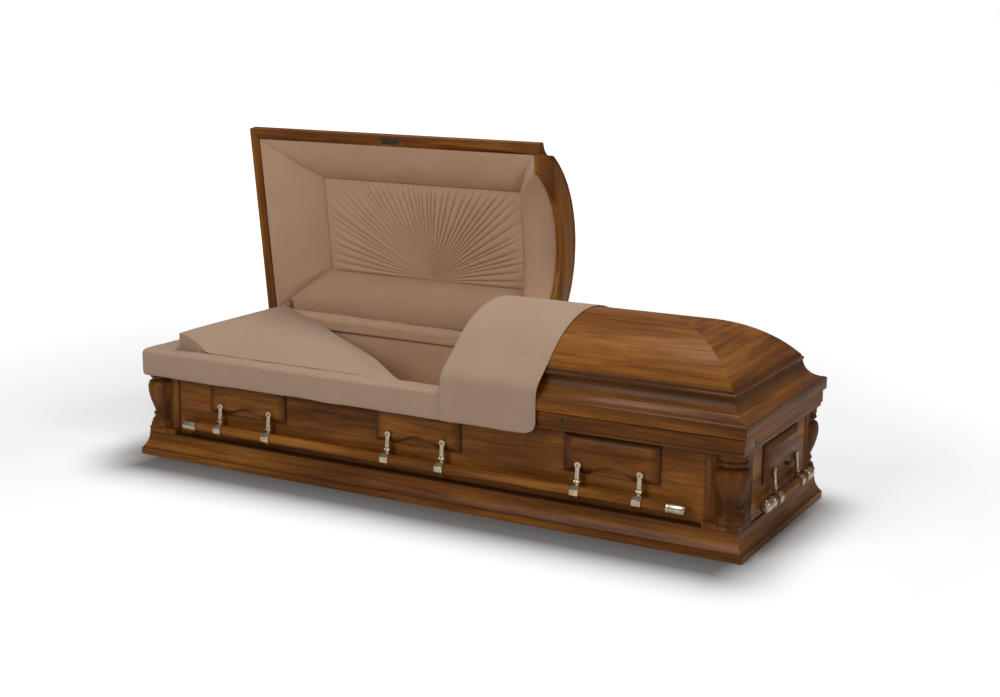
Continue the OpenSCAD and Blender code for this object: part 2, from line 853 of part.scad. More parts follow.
on_side("head") raised_panel(end_panel_w);  // panel_head
on_side("foot") raised_panel(end_panel_w);  // panel_foot
on_side("front") ears(side_ears);  // ears_front
on_side("rear") ears(side_ears);  // ears_rear
on_side("head") ears(end_ears);  // ears_head
on_side("foot") ears(end_ears);  // ears_foot
on_side("front") rod(bar_side_l);  // rod_front
on_side("rear") rod(bar_side_l);  // rod_rear
on_side("head") rod(bar_end_l);  // rod_head
on_side("foot") rod(bar_end_l);  // rod_foot
on_side("front") fittings(side_ears, bar_side_l);  // fittings_front
on_side("rear") fittings(side_ears, bar_side_l);  // fittings_rear
on_side("head") fittings(end_ears, bar_end_l);  // fittings_head
on_side("foot") fittings(end_ears, bar_end_l);  // fittings_foot
rail_catch();
end_lock();
hinges_body();
opened() lid_hinges(head_hinges);  // hinges_head_lid
lid_hinges(foot_hinges);  // hinges_foot_lid
head_lid_frame();
head_lid_header();
head_lid_crown();
head_lid_rolls();
head_lid_sunburst();
latch_plate();
foot_lid_frame();
foot_lid_header();
foot_lid_crown();
foot_lid_lining();
throw();
body_lining();
mattress();
pillow();
extendover();
rear_roll();
support_boot();
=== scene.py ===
import json
import math
from math import cos, pi, sin
import bmesh
import bpy
import numpy as np
from mathutils import Matrix, Vector, noise

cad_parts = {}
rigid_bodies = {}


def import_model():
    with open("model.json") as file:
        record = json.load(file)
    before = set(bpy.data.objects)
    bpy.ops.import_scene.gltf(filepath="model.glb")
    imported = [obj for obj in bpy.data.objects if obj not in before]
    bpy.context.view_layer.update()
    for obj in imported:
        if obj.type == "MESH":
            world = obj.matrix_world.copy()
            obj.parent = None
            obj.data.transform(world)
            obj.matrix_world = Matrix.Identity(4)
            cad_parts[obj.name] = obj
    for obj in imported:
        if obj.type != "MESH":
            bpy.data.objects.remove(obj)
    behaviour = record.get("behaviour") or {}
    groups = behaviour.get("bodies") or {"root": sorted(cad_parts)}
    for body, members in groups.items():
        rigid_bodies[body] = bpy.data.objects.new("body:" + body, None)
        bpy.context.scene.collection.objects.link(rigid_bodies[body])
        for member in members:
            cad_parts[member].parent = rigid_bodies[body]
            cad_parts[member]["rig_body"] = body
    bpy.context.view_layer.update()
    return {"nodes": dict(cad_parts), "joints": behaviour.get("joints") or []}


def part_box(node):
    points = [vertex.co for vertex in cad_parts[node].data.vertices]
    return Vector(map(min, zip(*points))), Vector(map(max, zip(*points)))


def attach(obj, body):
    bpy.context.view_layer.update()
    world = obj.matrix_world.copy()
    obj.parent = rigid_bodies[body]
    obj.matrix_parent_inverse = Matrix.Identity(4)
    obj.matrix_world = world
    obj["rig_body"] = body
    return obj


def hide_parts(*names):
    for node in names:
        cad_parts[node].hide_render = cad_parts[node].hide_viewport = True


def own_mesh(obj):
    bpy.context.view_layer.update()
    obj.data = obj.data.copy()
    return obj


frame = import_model()
print("frame loaded:", len(frame["nodes"]), "nodes")

# places taken from the frame, in metres
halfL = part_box("base_foot")[1].x
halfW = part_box("base_rear")[1].y
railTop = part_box("rail_front")[1].z
wallX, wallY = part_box("body_lining")[1].x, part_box("body_lining")[1].y
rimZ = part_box("foot_lid_frame")[0].z
crownFoot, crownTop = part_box("foot_lid_crown")
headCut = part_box("head_lid_frame")[1].x
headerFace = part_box("head_lid_header")[0].x
hinge = next(j for j in frame["joints"] if j["name"] == "head_lid_hinge")
lidOpen = math.radians(hinge["range_deg"][1])
hingePoint = Vector(hinge["pos_m"])
# takes a point of the shut head lid to where it is with the lid raised
raiseLid = Matrix.Translation(hingePoint) @ Matrix.Rotation(-lidOpen, 4, "X")
raiseLid = raiseLid @ Matrix.Translation(-hingePoint)
lowerLid = raiseLid.inverted()

crownRise = crownTop.z - crownFoot.z
crownRadius = (crownTop.y ** 2 + crownRise ** 2) / (2 * crownRise)
crownMid = crownTop.z - crownRadius


# ---- shader nodes ----

class Value:
    # a socket of a node, on which sums and products add Math nodes
    def __init__(self, finish, socket):
        self.finish = finish
        self.socket = socket

    def math(self, operation, *values):
        return self.finish.node("Math", {"operation": operation}, *values)

    def __add__(self, other):
        return self.math("ADD", self, other)

    def __sub__(self, other):
        return self.math("SUBTRACT", self, other)

    def __rsub__(self, other):
        return self.math("SUBTRACT", other, self)

    def __mul__(self, other):
        return self.math("MULTIPLY", self, other)

    def __pow__(self, other):
        return self.math("POWER", self, other)

    __radd__ = __add__
    __rmul__ = __mul__


class Finish:
    # one material: its Principled shader and the nodes that feed it
    def __init__(self, name):
        self.material = bpy.data.materials.new(name)
        self.material.use_nodes = True
        self.nodes = self.material.node_tree.nodes
        self.links = self.material.node_tree.links
        self.shader = next(n for n in self.nodes if n.type == "BSDF_PRINCIPLED")

    def feed(self, socket, value):
        if isinstance(value, Value):
            self.links.new(value.socket, socket)
        elif value is not None:
            socket.default_value = value

    def node(self, kind, settings, *values, out=0, named=None):
        made = self.nodes.new("ShaderNode" + kind)
        for key, setting in settings.items():
            if key == "stops":
                ramp = made.color_ramp
                while len(ramp.elements) < len(setting):
                    ramp.elements.new(0.5)
                for element, (place, colour) in zip(ramp.elements, setting):
                    element.position = place
                    element.color = colour
            else:
                setattr(made, key, setting)
        for socket, value in zip(made.inputs, values):
            self.feed(socket, value)
        for key, value in (named or {}).items():
            self.feed(made.inputs[key], value)
        return Value(self, made.outputs[out])

    def place(self):
        return self.node("TexCoord", {}, out="Object")

    def attribute(self, name, out):
        return self.node("Attribute", {"attribute_name": name}, out=out)

    def vectorMath(self, operation, *values, out=0):
        return self.node("VectorMath", {"operation": operation}, *values, out=out)

    def stretch(self, vector, scale):
        return self.vectorMath("MULTIPLY", vector, scale)

    def noise(self, vector, scale=1.0, detail=3.0, rough=0.55, twist=0.0):
        sizes = {"Vector": vector, "Scale": scale, "Detail": detail, "Roughness": rough, "Distortion": twist}
        return self.node("TexNoise", {}, named=sizes)

    def ramp(self, value, stops):
        return self.node("ValToRGB", {"stops": stops}, value)

    def span(self, value, low, high, toLow=0.0, toHigh=1.0):
        return self.node("MapRange", {}, value, low, high, toLow, toHigh)

    def mix(self, share, first, second, kind="MIX"):
        made = self.nodes.new("ShaderNodeMix")
        made.data_type = "RGBA"
        made.blend_type = kind
        self.feed(made.inputs[0], share)
        self.feed(made.inputs[6], first)
        self.feed(made.inputs[7], second)
        return Value(self, made.outputs[2])

    def bump(self, height, strength, distance):
        sizes = {"Height": height, "Strength": strength, "Distance": distance}
        self.shade({"Normal": self.node("Bump", {}, named=sizes)})

    def shade(self, sockets):
        for key, value in sockets.items():
            self.feed(self.shader.inputs[key], value)


def colour(red, green, blue):
    return (red, green, blue, 1.0)


# the glaze colour is the dark of glaze and painted shade in grooves, joints and recesses, and it also darkens
# the fine grain lines
woodLook = {"umber": colour(0.066, 0.020, 0.003), "brown": colour(0.190, 0.062, 0.009),
            "honey": colour(0.350, 0.130, 0.020), "pale": colour(0.54, 0.240, 0.050),
            "glaze": colour(0.026, 0.009, 0.003), "gloss": 0.36, "coat": 0.06, "shine": 0.1}


def woodFinish(look):
    # long streaks run along the first axis of the grain attribute; the glaze attribute darkens mouldings,
    # grooves and joints with glaze and painted shade
    f = Finish("stainedWood")
    grain = f.attribute("grain", "Vector")
    glaze = f.attribute("glaze", "Fac")

    def streaked(along, across, **settings):
        return f.noise(f.stretch(grain, (along, across, across)), **settings)

    drift = streaked(0.8, 4.0, detail=3, twist=0.5)
    broad = streaked(2.2, 15.0, detail=4, rough=0.6, twist=0.4)
    streaks = streaked(2.0, 48.0, detail=5, rough=0.62, twist=0.2)
    fine = streaked(7.0, 260.0, detail=4, rough=0.7)
    pores = streaked(30.0, 1100.0, detail=2)
    tone = streaks * 0.34 + broad * 0.44 + drift * 0.34 - 0.06 + (fine - 0.5) * 0.16
    stops = [(0.34, look["umber"]), (0.47, look["brown"]), (0.60, look["honey"]), (0.80, look["pale"])]
    # glaze and painted shade: the glaze attribute, made uneven by the broad streaks
    uneven = glaze * (0.80 + (broad - 0.5) * 1.1)
    glazedAndShaded = f.mix(f.span(uneven, 0.0, 1.0, 0.0, 0.93), f.ramp(tone, stops), look["glaze"])
    lined = f.mix(f.span(fine, 0.32, 0.50, 0.30, 0.0), glazedAndShaded, look["glaze"])
    gloss = f.span(streaks, 0.3, 0.7, look["gloss"] + 0.10, look["gloss"] - 0.05)
    f.shade({"Base Color": lined, "Roughness": gloss, "Coat Weight": look["coat"], "Coat Roughness": 0.16,
             "Specular IOR Level": look["shine"]})
    f.bump(fine * 0.6 + pores * 0.4, 0.22, 0.0005)
    return f.material


brassLook = {"face": colour(0.74, 0.61, 0.42), "worn": colour(0.50, 0.38, 0.24), "rough": 0.20}
bronzeLook = {"face": colour(0.10, 0.08, 0.06), "worn": colour(0.05, 0.04, 0.03), "rough": 0.38}


def metalFinish(name, look):
    f = Finish(name)
    place = f.place()
    cloud = f.noise(place, 60.0, detail=4)
    scuff = f.noise(f.stretch(place, (400.0, 400.0, 90.0)), detail=3)
    f.shade({"Base Color": f.mix(f.span(cloud, 0.35, 0.75), look["face"], look["worn"]), "Metallic": 1.0,
             "Roughness": f.span(scuff, 0.3, 0.7, look["rough"] - 0.05, look["rough"] + 0.12)})
    f.bump(scuff, 0.02, 0.0002)
    return f.material


crepeLook = {"face": colour(0.435, 0.300, 0.208), "dip": colour(0.34, 0.220, 0.146), "thread": 2600.0}
# a lighter copy of the crepe for the pieces inside the casket: painted light that stands in for light
# reaching into the lining
crepePaintedLightLook = {"face": colour(0.60, 0.385, 0.250), "dip": colour(0.47, 0.275, 0.168), "thread": 2600.0}


def clothFinish(name, look):
    # crepe: fine pebbled threads, with a little mottling
    f = Finish(name)
    place = f.place()
    mottle = f.noise(place, 9.0, detail=4)
    pebble = f.noise(place, look["thread"] * 0.35, detail=3, rough=0.7)
    warp = f.noise(f.stretch(place, (look["thread"], 500.0, 500.0)), detail=1)
    weft = f.noise(f.stretch(place, (500.0, look["thread"], look["thread"])), detail=1)
    weave = warp * 0.5 + weft * 0.5
    tint = f.mix(f.span(mottle, 0.3, 0.7), look["dip"], look["face"])
    even = f.mix(0.72, tint, look["face"])
    f.shade({"Base Color": f.mix(f.span(pebble, 0.35, 0.65, 0.22, 0.0), even, look["dip"]),
             "Roughness": f.span(pebble, 0.3, 0.7, 0.82, 0.95), "Sheen Weight": 0.12,
             "Sheen Roughness": 0.4, "Specular IOR Level": 0.2})
    f.bump(pebble * 0.6 + weave * 0.4, 0.35, 0.0006)
    return f.material


wood = woodFinish(woodLook)
brass = metalFinish("paleBrass", brassLook)
bronze = metalFinish("darkBronze", bronzeLook)
crepe = clothFinish("crepe", crepeLook)
# the lighter crepe paints light onto the body lining, rear roll, mattress, lid rolls, sunburst and foot lid
# lining
crepePaintedLight = clothFinish("crepe_painted_light", crepePaintedLightLook)
print("finishes ready")


# ---- mesh helpers ----

weld = 0.00001


def placed(name, data):
    made = bpy.data.objects.new(name, data)
    bpy.context.scene.collection.objects.link(made)
    return made


def finished(mesh, name, material, body, nodes=(), sharp=32):
    piece = placed(name, mesh)
    mesh.materials.clear()
    mesh.materials.append(material)
    mesh.polygons.foreach_set("use_smooth", [True] * len(mesh.polygons))
    mesh.set_sharp_from_angle(angle=math.radians(sharp))
    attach(piece, body)
    if nodes:
        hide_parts(*nodes)
    return piece


def meshFrom(points, faces, name):
    mesh = bpy.data.meshes.new(name)
    mesh.from_pydata([tuple(p) for p in points], [], faces)
    mesh.validate()
    mesh.update()
    return mesh


def tidied(mesh):
    bm = bmesh.new()
    bm.from_mesh(mesh)
    bmesh.ops.remove_doubles(bm, verts=bm.verts, dist=weld)
    bmesh.ops.dissolve_degenerate(bm, edges=bm.edges, dist=weld)
    bmesh.ops.recalc_face_normals(bm, faces=bm.faces)
    bm.to_mesh(mesh)
    bm.free()
    return mesh


def gridFaces(rows, columns, ringRows=False, ringColumns=False):
    # rows of points, each of as many columns; a ring joins its last to its first
    faces = []
    for a in range(rows if ringRows else rows - 1):
        for b in range(columns if ringColumns else columns - 1):
            c, d = (a + 1) % rows, (b + 1) % columns
            faces.append((a * columns + b, a * columns + d, c * columns + d, c * columns + b))
    return faces


def gridRim(rows, columns):
    # once round the outer points of a grid
    rim = [a * columns for a in range(rows)] + [(rows - 1) * columns + b for b in range(1, columns)]
    rim += [a * columns + columns - 1 for a in range(rows - 2, -1, -1)]
    return rim + list(range(columns - 2, 0, -1))


def wallFaces(first, second):
    # faces between two closed rows of points
    ahead = [k + 1 - len(first) for k in range(len(first))]
    return [(first[k], second[k], second[n], first[n]) for k, n in enumerate(ahead)]


def sweptMesh(sections, name, ring=False):
    # closed sections one after another; the ends are capped unless the run is a ring
    rows, columns = len(sections), len(sections[0])
    faces = gridFaces(rows, columns, ring, True)
    if not ring:
        faces.append(tuple(range(columns)))
        faces.append(tuple(reversed(range((rows - 1) * columns, rows * columns))))
    points = [p for section in sections for p in section]
    return tidied(meshFrom(points, faces, name))


def raised(mesh):
    mesh.transform(raiseLid)
    return mesh


def wrinkle(x, y, z, scale, seed=0.0):
    return noise.noise(Vector((x * scale + seed, y * scale - seed, z * scale + 2 * seed)))


def rampUp(value, low, high):
    share = min(1.0, max(0.0, (value - low) / (high - low)))
    return share * share * (3 - 2 * share)


# ---- wood, from the construction's own boards ----

alongX, alongY, alongZ = 0, 1, 2


def alongMitre(centre):
    # in a mitred frame the grain follows the nearer edge
    return alongY if halfL - abs(centre[0]) < halfW - abs(centre[1]) else alongX


grainOrder = [(0, 1, 2), (1, 0, 2), (2, 0, 1)]


def layGrain(mesh, rule, offset, glaze, lid):
    # the grain attribute holds (along, across, through) at each face corner, as measured with the lid shut
    points = np.array([(lowerLid @ v.co) if lid else v.co for v in mesh.vertices], float)
    vectors = np.zeros((len(mesh.loops), 3), np.float32)
    shades = np.zeros(len(mesh.loops), np.float32)
    for face in mesh.polygons:
        corners = points[list(face.vertices)]
        order = grainOrder[rule(corners.mean(0)) if callable(rule) else rule]
        span = slice(face.loop_start, face.loop_start + face.loop_total)
        vectors[span] = corners[:, order] + offset
        shades[span] = [glaze(p, face.normal) if callable(glaze) else glaze for p in corners]
    mesh.attributes.new("grain", "FLOAT_VECTOR", "CORNER").data.foreach_set("vector", vectors.ravel())
    # the glaze attribute holds the amount of glaze and painted shade at each face corner
    mesh.attributes.new("glaze", "FLOAT", "CORNER").data.foreach_set("value", shades)


def refinedMesh(node, name, bevel, cuts=(), mitres=()):
    # the board as one clean mesh with eased arrises; the glaze and painted shade need the cuts, each an axis
    # and a place, and the grain needs the mitres, each a point and a normal
    mesh = frame["nodes"][node].data.copy()
    mesh.name = name
    bm = bmesh.new()
    bm.from_mesh(mesh)
    bmesh.ops.remove_doubles(bm, verts=bm.verts, dist=weld)
    bmesh.ops.dissolve_limit(bm, angle_limit=math.radians(0.4), verts=bm.verts, edges=bm.edges)
    if bevel:
        sharp = [e for e in bm.edges if len(e.link_faces) == 2 and e.calc_face_angle(0) > math.radians(24)]
        bmesh.ops.bevel(bm, geom=sharp, offset=bevel, offset_type="OFFSET", segments=2, profile=0.5,
                        affect="EDGES", clamp_overlap=True)
    axes = Matrix.Identity(3)
    planes = [(axes[axis] * place, axes[axis]) for axis, place in cuts] + list(mitres)
    for point, normal in planes:
        bmesh.ops.bisect_plane(bm, geom=bm.verts[:] + bm.edges[:] + bm.faces[:], dist=weld,
                               plane_co=point, plane_no=normal)
    bm.to_mesh(mesh)
    bm.free()
    for old in [a.name for a in mesh.attributes if a.name.startswith("UV")]:
        mesh.attributes.remove(mesh.attributes[old])
    return mesh


def board(node, rule, bevel=0.0012, glaze=0.0, lid=False, sharp=32, cuts=(), mitres=()):
    body = frame["nodes"][node]["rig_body"]
    mesh = refinedMesh(node, node, bevel, cuts, mitres)
    # each board is cut from its own place in the wood
    offset = np.array([(len(node) * 1.37) % 5, (sum(map(ord, node)) * 0.173) % 4, (ord(node[-1]) * 0.31) % 3])
    layGrain(mesh, rule, offset, glaze, lid)
    return finished(mesh, "wood_" + node, wood, body, [node], sharp)


# sizes of the glaze and painted shade in joints: how dark a joint is, how far it reaches, the darkness of
# panel fields and plain boards, and where the mesh is cut to carry it
glazeShadeSizes = {"joint": 0.92, "reach": 0.011, "field": 0.10, "board": 0.06, "lip": 0.0015,
              "steps": (0.0005, 0.003, 0.0065, 0.012)}


def fading(distance):
    # painted shade and glaze in a joint, at this distance from it
    if distance < -0.001:
        return 0.0
    return glazeShadeSizes["joint"] * max(0.0, 1 - max(0.0, distance) / glazeShadeSizes["reach"]) ** 1.5


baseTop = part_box("base_front")[1].z
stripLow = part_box("rail_front")[0].z
# glaze and painted shade by height, as (height, darkness): dark in grooves and under lips, lighter where a
# bead or rim catches the light
baseTable = [(0.0, 0.55), (0.004, 0.15), (0.019, 0.10), (0.0225, 0.85), (0.026, 0.55), (0.034, 0.12),
             (0.050, 0.16), (0.062, 0.34), (baseTop - 0.004, 0.55), (baseTop, 0.95)]
frameTable = [(rimZ + up, shade) for up, shade in (
    (0, 0.0), (0.003, 0.25), (0.031, 0.22), (0.0355, 0.80), (0.041, 0.20), (0.052, 0.22), (0.068, 0.50),
    (0.084, 0.80))]
frameTable += [(crownFoot.z - down, shade) for down, shade in (
    (0.0170, 0.92), (0.0140, 0.30), (0.0085, 0.20), (0.0062, 0.95), (0, 0.98))]
railTable = [(stripLow + up, shade) for up, shade in (
    (0, 0.80), (0.002, 0.35), (0.009, 0.40), (0.012, 0.95), (0.015, 0.45))]
railTable += [(railTop - 0.004, 0.40), (railTop, 0.70)]
crownTable = [(crownFoot.z + up, shade) for up, shade in ((0, 0.85), (0.007, 0.34), (0.020, 0.08))]
crownTable.append((crownTop.z, 0.0))


def byHeight(table):
    # glaze and painted shade that follow a table of heights, and the cuts it needs
    heights, shades = zip(*table)
    return {"glaze": lambda p, normal: float(np.interp(p[2], heights, shades)),
            "cuts": [(2, height) for height in heights[1:-1]]}


def boardGlazeShade(axis, outlines, post):
    # painted shade and glaze, darkest in the joints: round each panel, under the rail, over the base and
    # beside the posts
    def glaze(p, normal):
        along = p[axis]
        gaps = [stripLow - p[2], p[2] - baseTop, post - abs(along)]
        for low, high in outlines:
            gaps.append(max(low[axis] - along, along - high[axis], low.z - p[2], p[2] - high.z))
        return max(glazeShadeSizes["board"], *[fading(gap) for gap in gaps])
    return glaze


def jointCuts(axis, outlines, post):
    steps, lip = glazeShadeSizes["steps"], glazeShadeSizes["lip"]
    cuts = [(2, stripLow - s) for s in steps] + [(2, baseTop + s) for s in steps]
    cuts += [(axis, side * (post - s)) for s in steps for side in (-1, 1)]
    for low, high in outlines:
        for s in steps + (-lip,):
            cuts += [(axis, low[axis] - s), (axis, high[axis] + s), (2, low.z - s), (2, high.z + s)]
    return cuts


def panelBevelShade(low, high, axis, outward):
    # painted shade: the bevels are darker than the field, those facing along the wall darker than those
    # facing up or down, and the edges darker still
    face = high[1 - axis] if outward > 0 else low[1 - axis]

    def glaze(p, normal):
        depth = abs(face - p[1 - axis])
        if depth < 0.0004:
            return glazeShadeSizes["field"]
        if abs(normal[1 - axis]) < 0.2:
            return 1.0
        return 0.84 if abs(normal[axis]) > 0.2 else 0.44 + 0.03 * depth / 0.001
    return glaze


def urnPaintedShade(axisPoint, largest):
    # painted shade: darker where the turning is narrow, and none on the strips beside it, which are shown as
    # lit
    def glaze(p, normal):
        radius = math.hypot(p[0] - axisPoint[0], p[1] - axisPoint[1])
        if radius > largest + 0.0008 and p[2] > baseTop + 0.019:
            return 0.0
        return min(0.95, 0.52 + 1.0 * (largest - radius) / largest)
    return glaze


for name, grain in (("front", alongX), ("rear", alongX), ("head", alongY), ("foot", alongY)):
    board("base_" + name, grain, **byHeight(baseTable))
board("bottom_board", alongX, glaze=0.3)
bevels = {"panel": 0.0006, "rail": 0.0008, "rod": 0.002}
postSizes = {"inset": 0.058, "urn": 0.052}


def woodWall(wall, kind, axis, panels, post):
    # one wall of the body: its board, panels, rail and carrying rod
    outlines = [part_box(panel) for panel in panels]
    joints = (axis, outlines, post)
    board(f"{kind}_{wall}", axis, glaze=boardGlazeShade(*joints), cuts=jointCuts(*joints))
    outward = -1 if wall in ("front", "head") else 1
    for panel, (low, high) in zip(panels, outlines):
        board(panel, axis, glaze=panelBevelShade(low, high, axis, outward), bevel=bevels["panel"])
    board("rail_" + wall, axis, bevel=bevels["rail"], **byHeight(railTable))
    board("rod_" + wall, axis, bevel=bevels["rod"])


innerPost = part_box("post_front_foot")
for wall in ("front", "rear"):
    panels = [f"panel_{wall}_{place}" for place in ("head", "middle", "foot")]
    woodWall(wall, "side", alongX, panels, innerPost[0].x)
for wall in ("head", "foot"):
    woodWall(wall, "end", alongY, ["panel_" + wall], -innerPost[1].y)
    for side in ("front", "rear"):
        low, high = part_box(f"post_{side}_{wall}")
        inset = postSizes["inset"]
        middle = (math.copysign(halfL - inset, low.x), math.copysign(halfW - inset, low.y))
        board(f"post_{side}_{wall}", alongZ, bevel=0, glaze=urnPaintedShade(middle, postSizes["urn"]), sharp=38)


def mitrePlanes(end, raisedLid):
    # the two corner planes of a lid's frame, where it stands at rest
    place = raiseLid if raisedLid else Matrix.Identity(4)
    planes = []
    for side in (-1, 1):
        normal = place.to_3x3() @ Vector((end, -side, 0)).normalized()
        planes.append((place @ Vector((end * halfL, side * halfW, 0)), normal))
    return planes


frameGlazeShade, crownGlazeShade = (byHeight(table)["glaze"] for table in (frameTable, crownTable))
for name, end in (("head_lid", -1), ("foot_lid", 1)):
    lid = name == "head_lid"
    board(name + "_frame", alongMitre, bevel=0, glaze=frameGlazeShade, lid=lid, mitres=mitrePlanes(end, lid))
    board(name + "_header", alongY, glaze=glazeShadeSizes["board"], lid=lid)
    board(name + "_crown", alongMitre, bevel=0, glaze=crownGlazeShade, lid=lid, sharp=14)
print("woodwork done")


# ---- metal ----

def metalPiece(node, material, bevel):
    body = frame["nodes"][node]["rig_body"]
    return finished(refinedMesh(node, node, bevel), "metal_" + node, material, body, [node], 34)


for side in ("front", "rear", "head", "foot"):
    metalPiece("ears_" + side, brass, 0.0011)
    metalPiece("fittings_" + side, brass, 0.0008)
for name in ("body", "head_lid", "foot_lid"):
    metalPiece("hinges_" + name, brass, 0.0)
for name in ("rail_catch", "end_lock", "latch_plate"):
    metalPiece(name, bronze, 0.0004)
print("metalwork done")


# ---- small things repeated along a path ----

def stitchNodes():
    # sets stitches along an edge path: spaced, turned along the path, and joined into one mesh
    tree = bpy.data.node_groups.new("repeatAlongPath", "GeometryNodeTree")
    tree.interface.new_socket("Geometry", in_out="OUTPUT", socket_type="NodeSocketGeometry")
    inputs = {}
    kinds = ("Geometry", "Float", "Float", "Float", "Material")
    for name, kind in zip(("Path", "Spacing", "Length", "Radius", "Finish"), kinds):
        made = tree.interface.new_socket(name, in_out="INPUT", socket_type="NodeSocket" + kind)
        inputs[name] = made.identifier
    kinds = {"start": "NodeGroupInput", "stop": "NodeGroupOutput", "curve": "GeometryNodeMeshToCurve",
             "spaced": "GeometryNodeResampleCurve", "tangent": "GeometryNodeInputTangent",
             "turn": "FunctionNodeAlignRotationToVector", "stick": "GeometryNodeMeshCylinder",
             "place": "GeometryNodeInstanceOnPoints", "merge": "GeometryNodeRealizeInstances",
             "coat": "GeometryNodeSetMaterial"}
    nodes = {name: tree.nodes.new(kind) for name, kind in kinds.items()}
    nodes["spaced"].mode = "LENGTH"
    nodes["turn"].axis = "Z"
    nodes["stick"].inputs["Vertices"].default_value = stitchSides
    for source, out, target, into in (
            ("start", "Path", "curve", "Mesh"), ("curve", "Curve", "spaced", "Curve"),
            ("start", "Spacing", "spaced", "Length"), ("start", "Radius", "stick", "Radius"),
            ("start", "Length", "stick", "Depth"), ("tangent", "Tangent", "turn", "Vector"),
            ("spaced", "Curve", "place", "Points"), ("stick", "Mesh", "place", "Instance"),
            ("turn", "Rotation", "place", "Rotation"), ("place", "Instances", "merge", "Geometry"),
            ("merge", "Geometry", "coat", "Geometry"), ("start", "Finish", "coat", "Material"),
            ("coat", "Geometry", "stop", "Geometry")):
        tree.links.new(nodes[source].outputs[out], nodes[target].inputs[into])
    return tree, inputs


stitchSides = 6
stitchTree, stitchInputs = stitchNodes()


def repeated(paths, material, sizes):
    # a mesh of stitches along each path (a list of points)
    points, edges = [], []
    for path in paths:
        edges += [(len(points) + k, len(points) + k + 1) for k in range(len(path) - 1)]
        points += [tuple(p) for p in path]
    line = bpy.data.meshes.new("path")
    line.from_pydata(points, edges, [])
    holder = placed("path", line)
    modifier = holder.modifiers.new("stitches", "NODES")
    modifier.node_group = stitchTree
    for name, value in {**sizes, "Finish": material}.items():
        modifier[stitchInputs[name]] = value
    bpy.context.view_layer.update()
    made = bpy.data.meshes.new_from_object(holder.evaluated_get(bpy.context.evaluated_depsgraph_get()))
    holder.modifiers.remove(modifier)
    bpy.data.objects.remove(holder)
    return made


def joined(meshes, name):
    bm = bmesh.new()
    for mesh in meshes:
        bm.from_mesh(mesh)
    made = bpy.data.meshes.new(name)
    bm.to_mesh(made)
    bm.free()
    return made


# ---- cloth ----

stitchSizes = {"Spacing": 0.0056, "Length": 0.0038, "Radius": 0.00035}
bandSizes = {"low": 0.275, "out": 0.001, "thick": 0.0085, "back": 0.090, "tuck": 0.055, "turn": 0.034,
             "wave": 0.0022, "lift": 0.0016}


def bandSection():
    # (inset from the edge of the base, height), once round the band
    low, out, back, face = (bandSizes[k] for k in ("low", "out", "back", "thick"))
    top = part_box("extendover")[1].z
    tuck = top - bandSizes["tuck"]
    points = [(out + 0.004, low), (out + 0.001, low + 0.003)]
    points += [(out - 0.0015 * sin(pi * k / 8), low + 0.006 + k * (top - 0.016 - low - 0.006) / 8)
               for k in range(9)]
    points += [(out + 0.012 - 0.012 * cos(a), top - 0.013 + 0.013 * sin(a))
               for a in [math.radians(15 * k) for k in range(1, 7)]]
    points += [(out + 0.012 + (back - 0.022 - out) * k / 10, top) for k in range(1, 11)]
    points += [(back - 0.010 + 0.010 * sin(a), top - 0.010 + 0.010 * cos(a))
               for a in [math.radians(18 * k) for k in range(1, 6)]]
    points += [(back, top - 0.010 - (top - 0.010 - tuck) * k / 4) for k in range(1, 5)]
    points += [(back - 0.0075, tuck), (back - 0.0075, railTop + 0.0006), (out + face, railTop + 0.0006)]
    return points + [(out + face, railTop - (railTop - low) * k / 4) for k in range(1, 5)]


def crossing(row, level):
    # where a rising row of points passes a height
    for a, b in zip(row, row[1:]):
        if a[2] <= level < b[2]:
            return Vector(a).lerp(Vector(b), (level - a[2]) / (b[2] - a[2]))
    return Vector(row[1])


def bandMesh():
    # the band, and the line its hem stitches follow
    s = bandSizes
    section = bandSection()
    turn = s["turn"]
    start, stop = headCut + 0.0055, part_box("extendover")[1].y
    front, corner, end = 130, 8, 64
    sections, hem = [], []

    def put(place):
        row = []
        for inset, height in section:
            x, y, nx, ny = place(inset)
            along = x - y
            wave = wrinkle(along, 0, height, 7, 3.1) + 0.6 * wrinkle(along, 0, height * 0.4, 21, 7.7)
            hangs = inset < s["thick"] and height < railTop + 0.010
            shift = s["wave"] * wave * rampUp(railTop - height, -0.02, 0.06) * hangs
            if height > railTop + 0.006:
                height += s["lift"] * wrinkle(x, y, 0, 16, 5.0)
            elif height < s["low"] + 0.01:
                height += s["lift"] * wrinkle(along, 0, 0, 11, 1.4)
            row.append((x + nx * shift, y + ny * shift, height))
        sections.append(row)
        hem.append(crossing(row[1:11], s["low"] + 0.010))

    for k in range(front + 1):
        t = k / front
        put(lambda i: (start - t * (start + halfL - max(turn, i)), i - halfW, 0, -1))
    for k in range(1, corner):
        a = math.radians(90 * k / corner)
        nx, ny = -sin(a), -cos(a)
        put(lambda i: (turn - halfL + max(0, turn - i) * nx + max(0, i - turn),
                       turn - halfW + max(0, turn - i) * ny + max(0, i - turn), nx, ny))
    for k in range(end + 1):
        t = k / end
        put(lambda i: (i - halfL, max(turn, i) - halfW + t * (stop + halfW - max(turn, i)), -1, 0))
    return sweptMesh(sections, "band"), hem


bandShape, bandPath = bandMesh()
bandCloth = joined([bandShape, repeated([bandPath], crepe, stitchSizes)], "railBand")
band = finished(bandCloth, "cloth_rail_band", crepe, "root", ["extendover"], 60)
print("rail band done")

rollSizes = {"steps": 150, "round": 40, "over": 0.006, "fall": 0.011, "fold": 0.0020, "crease": 0.0011}


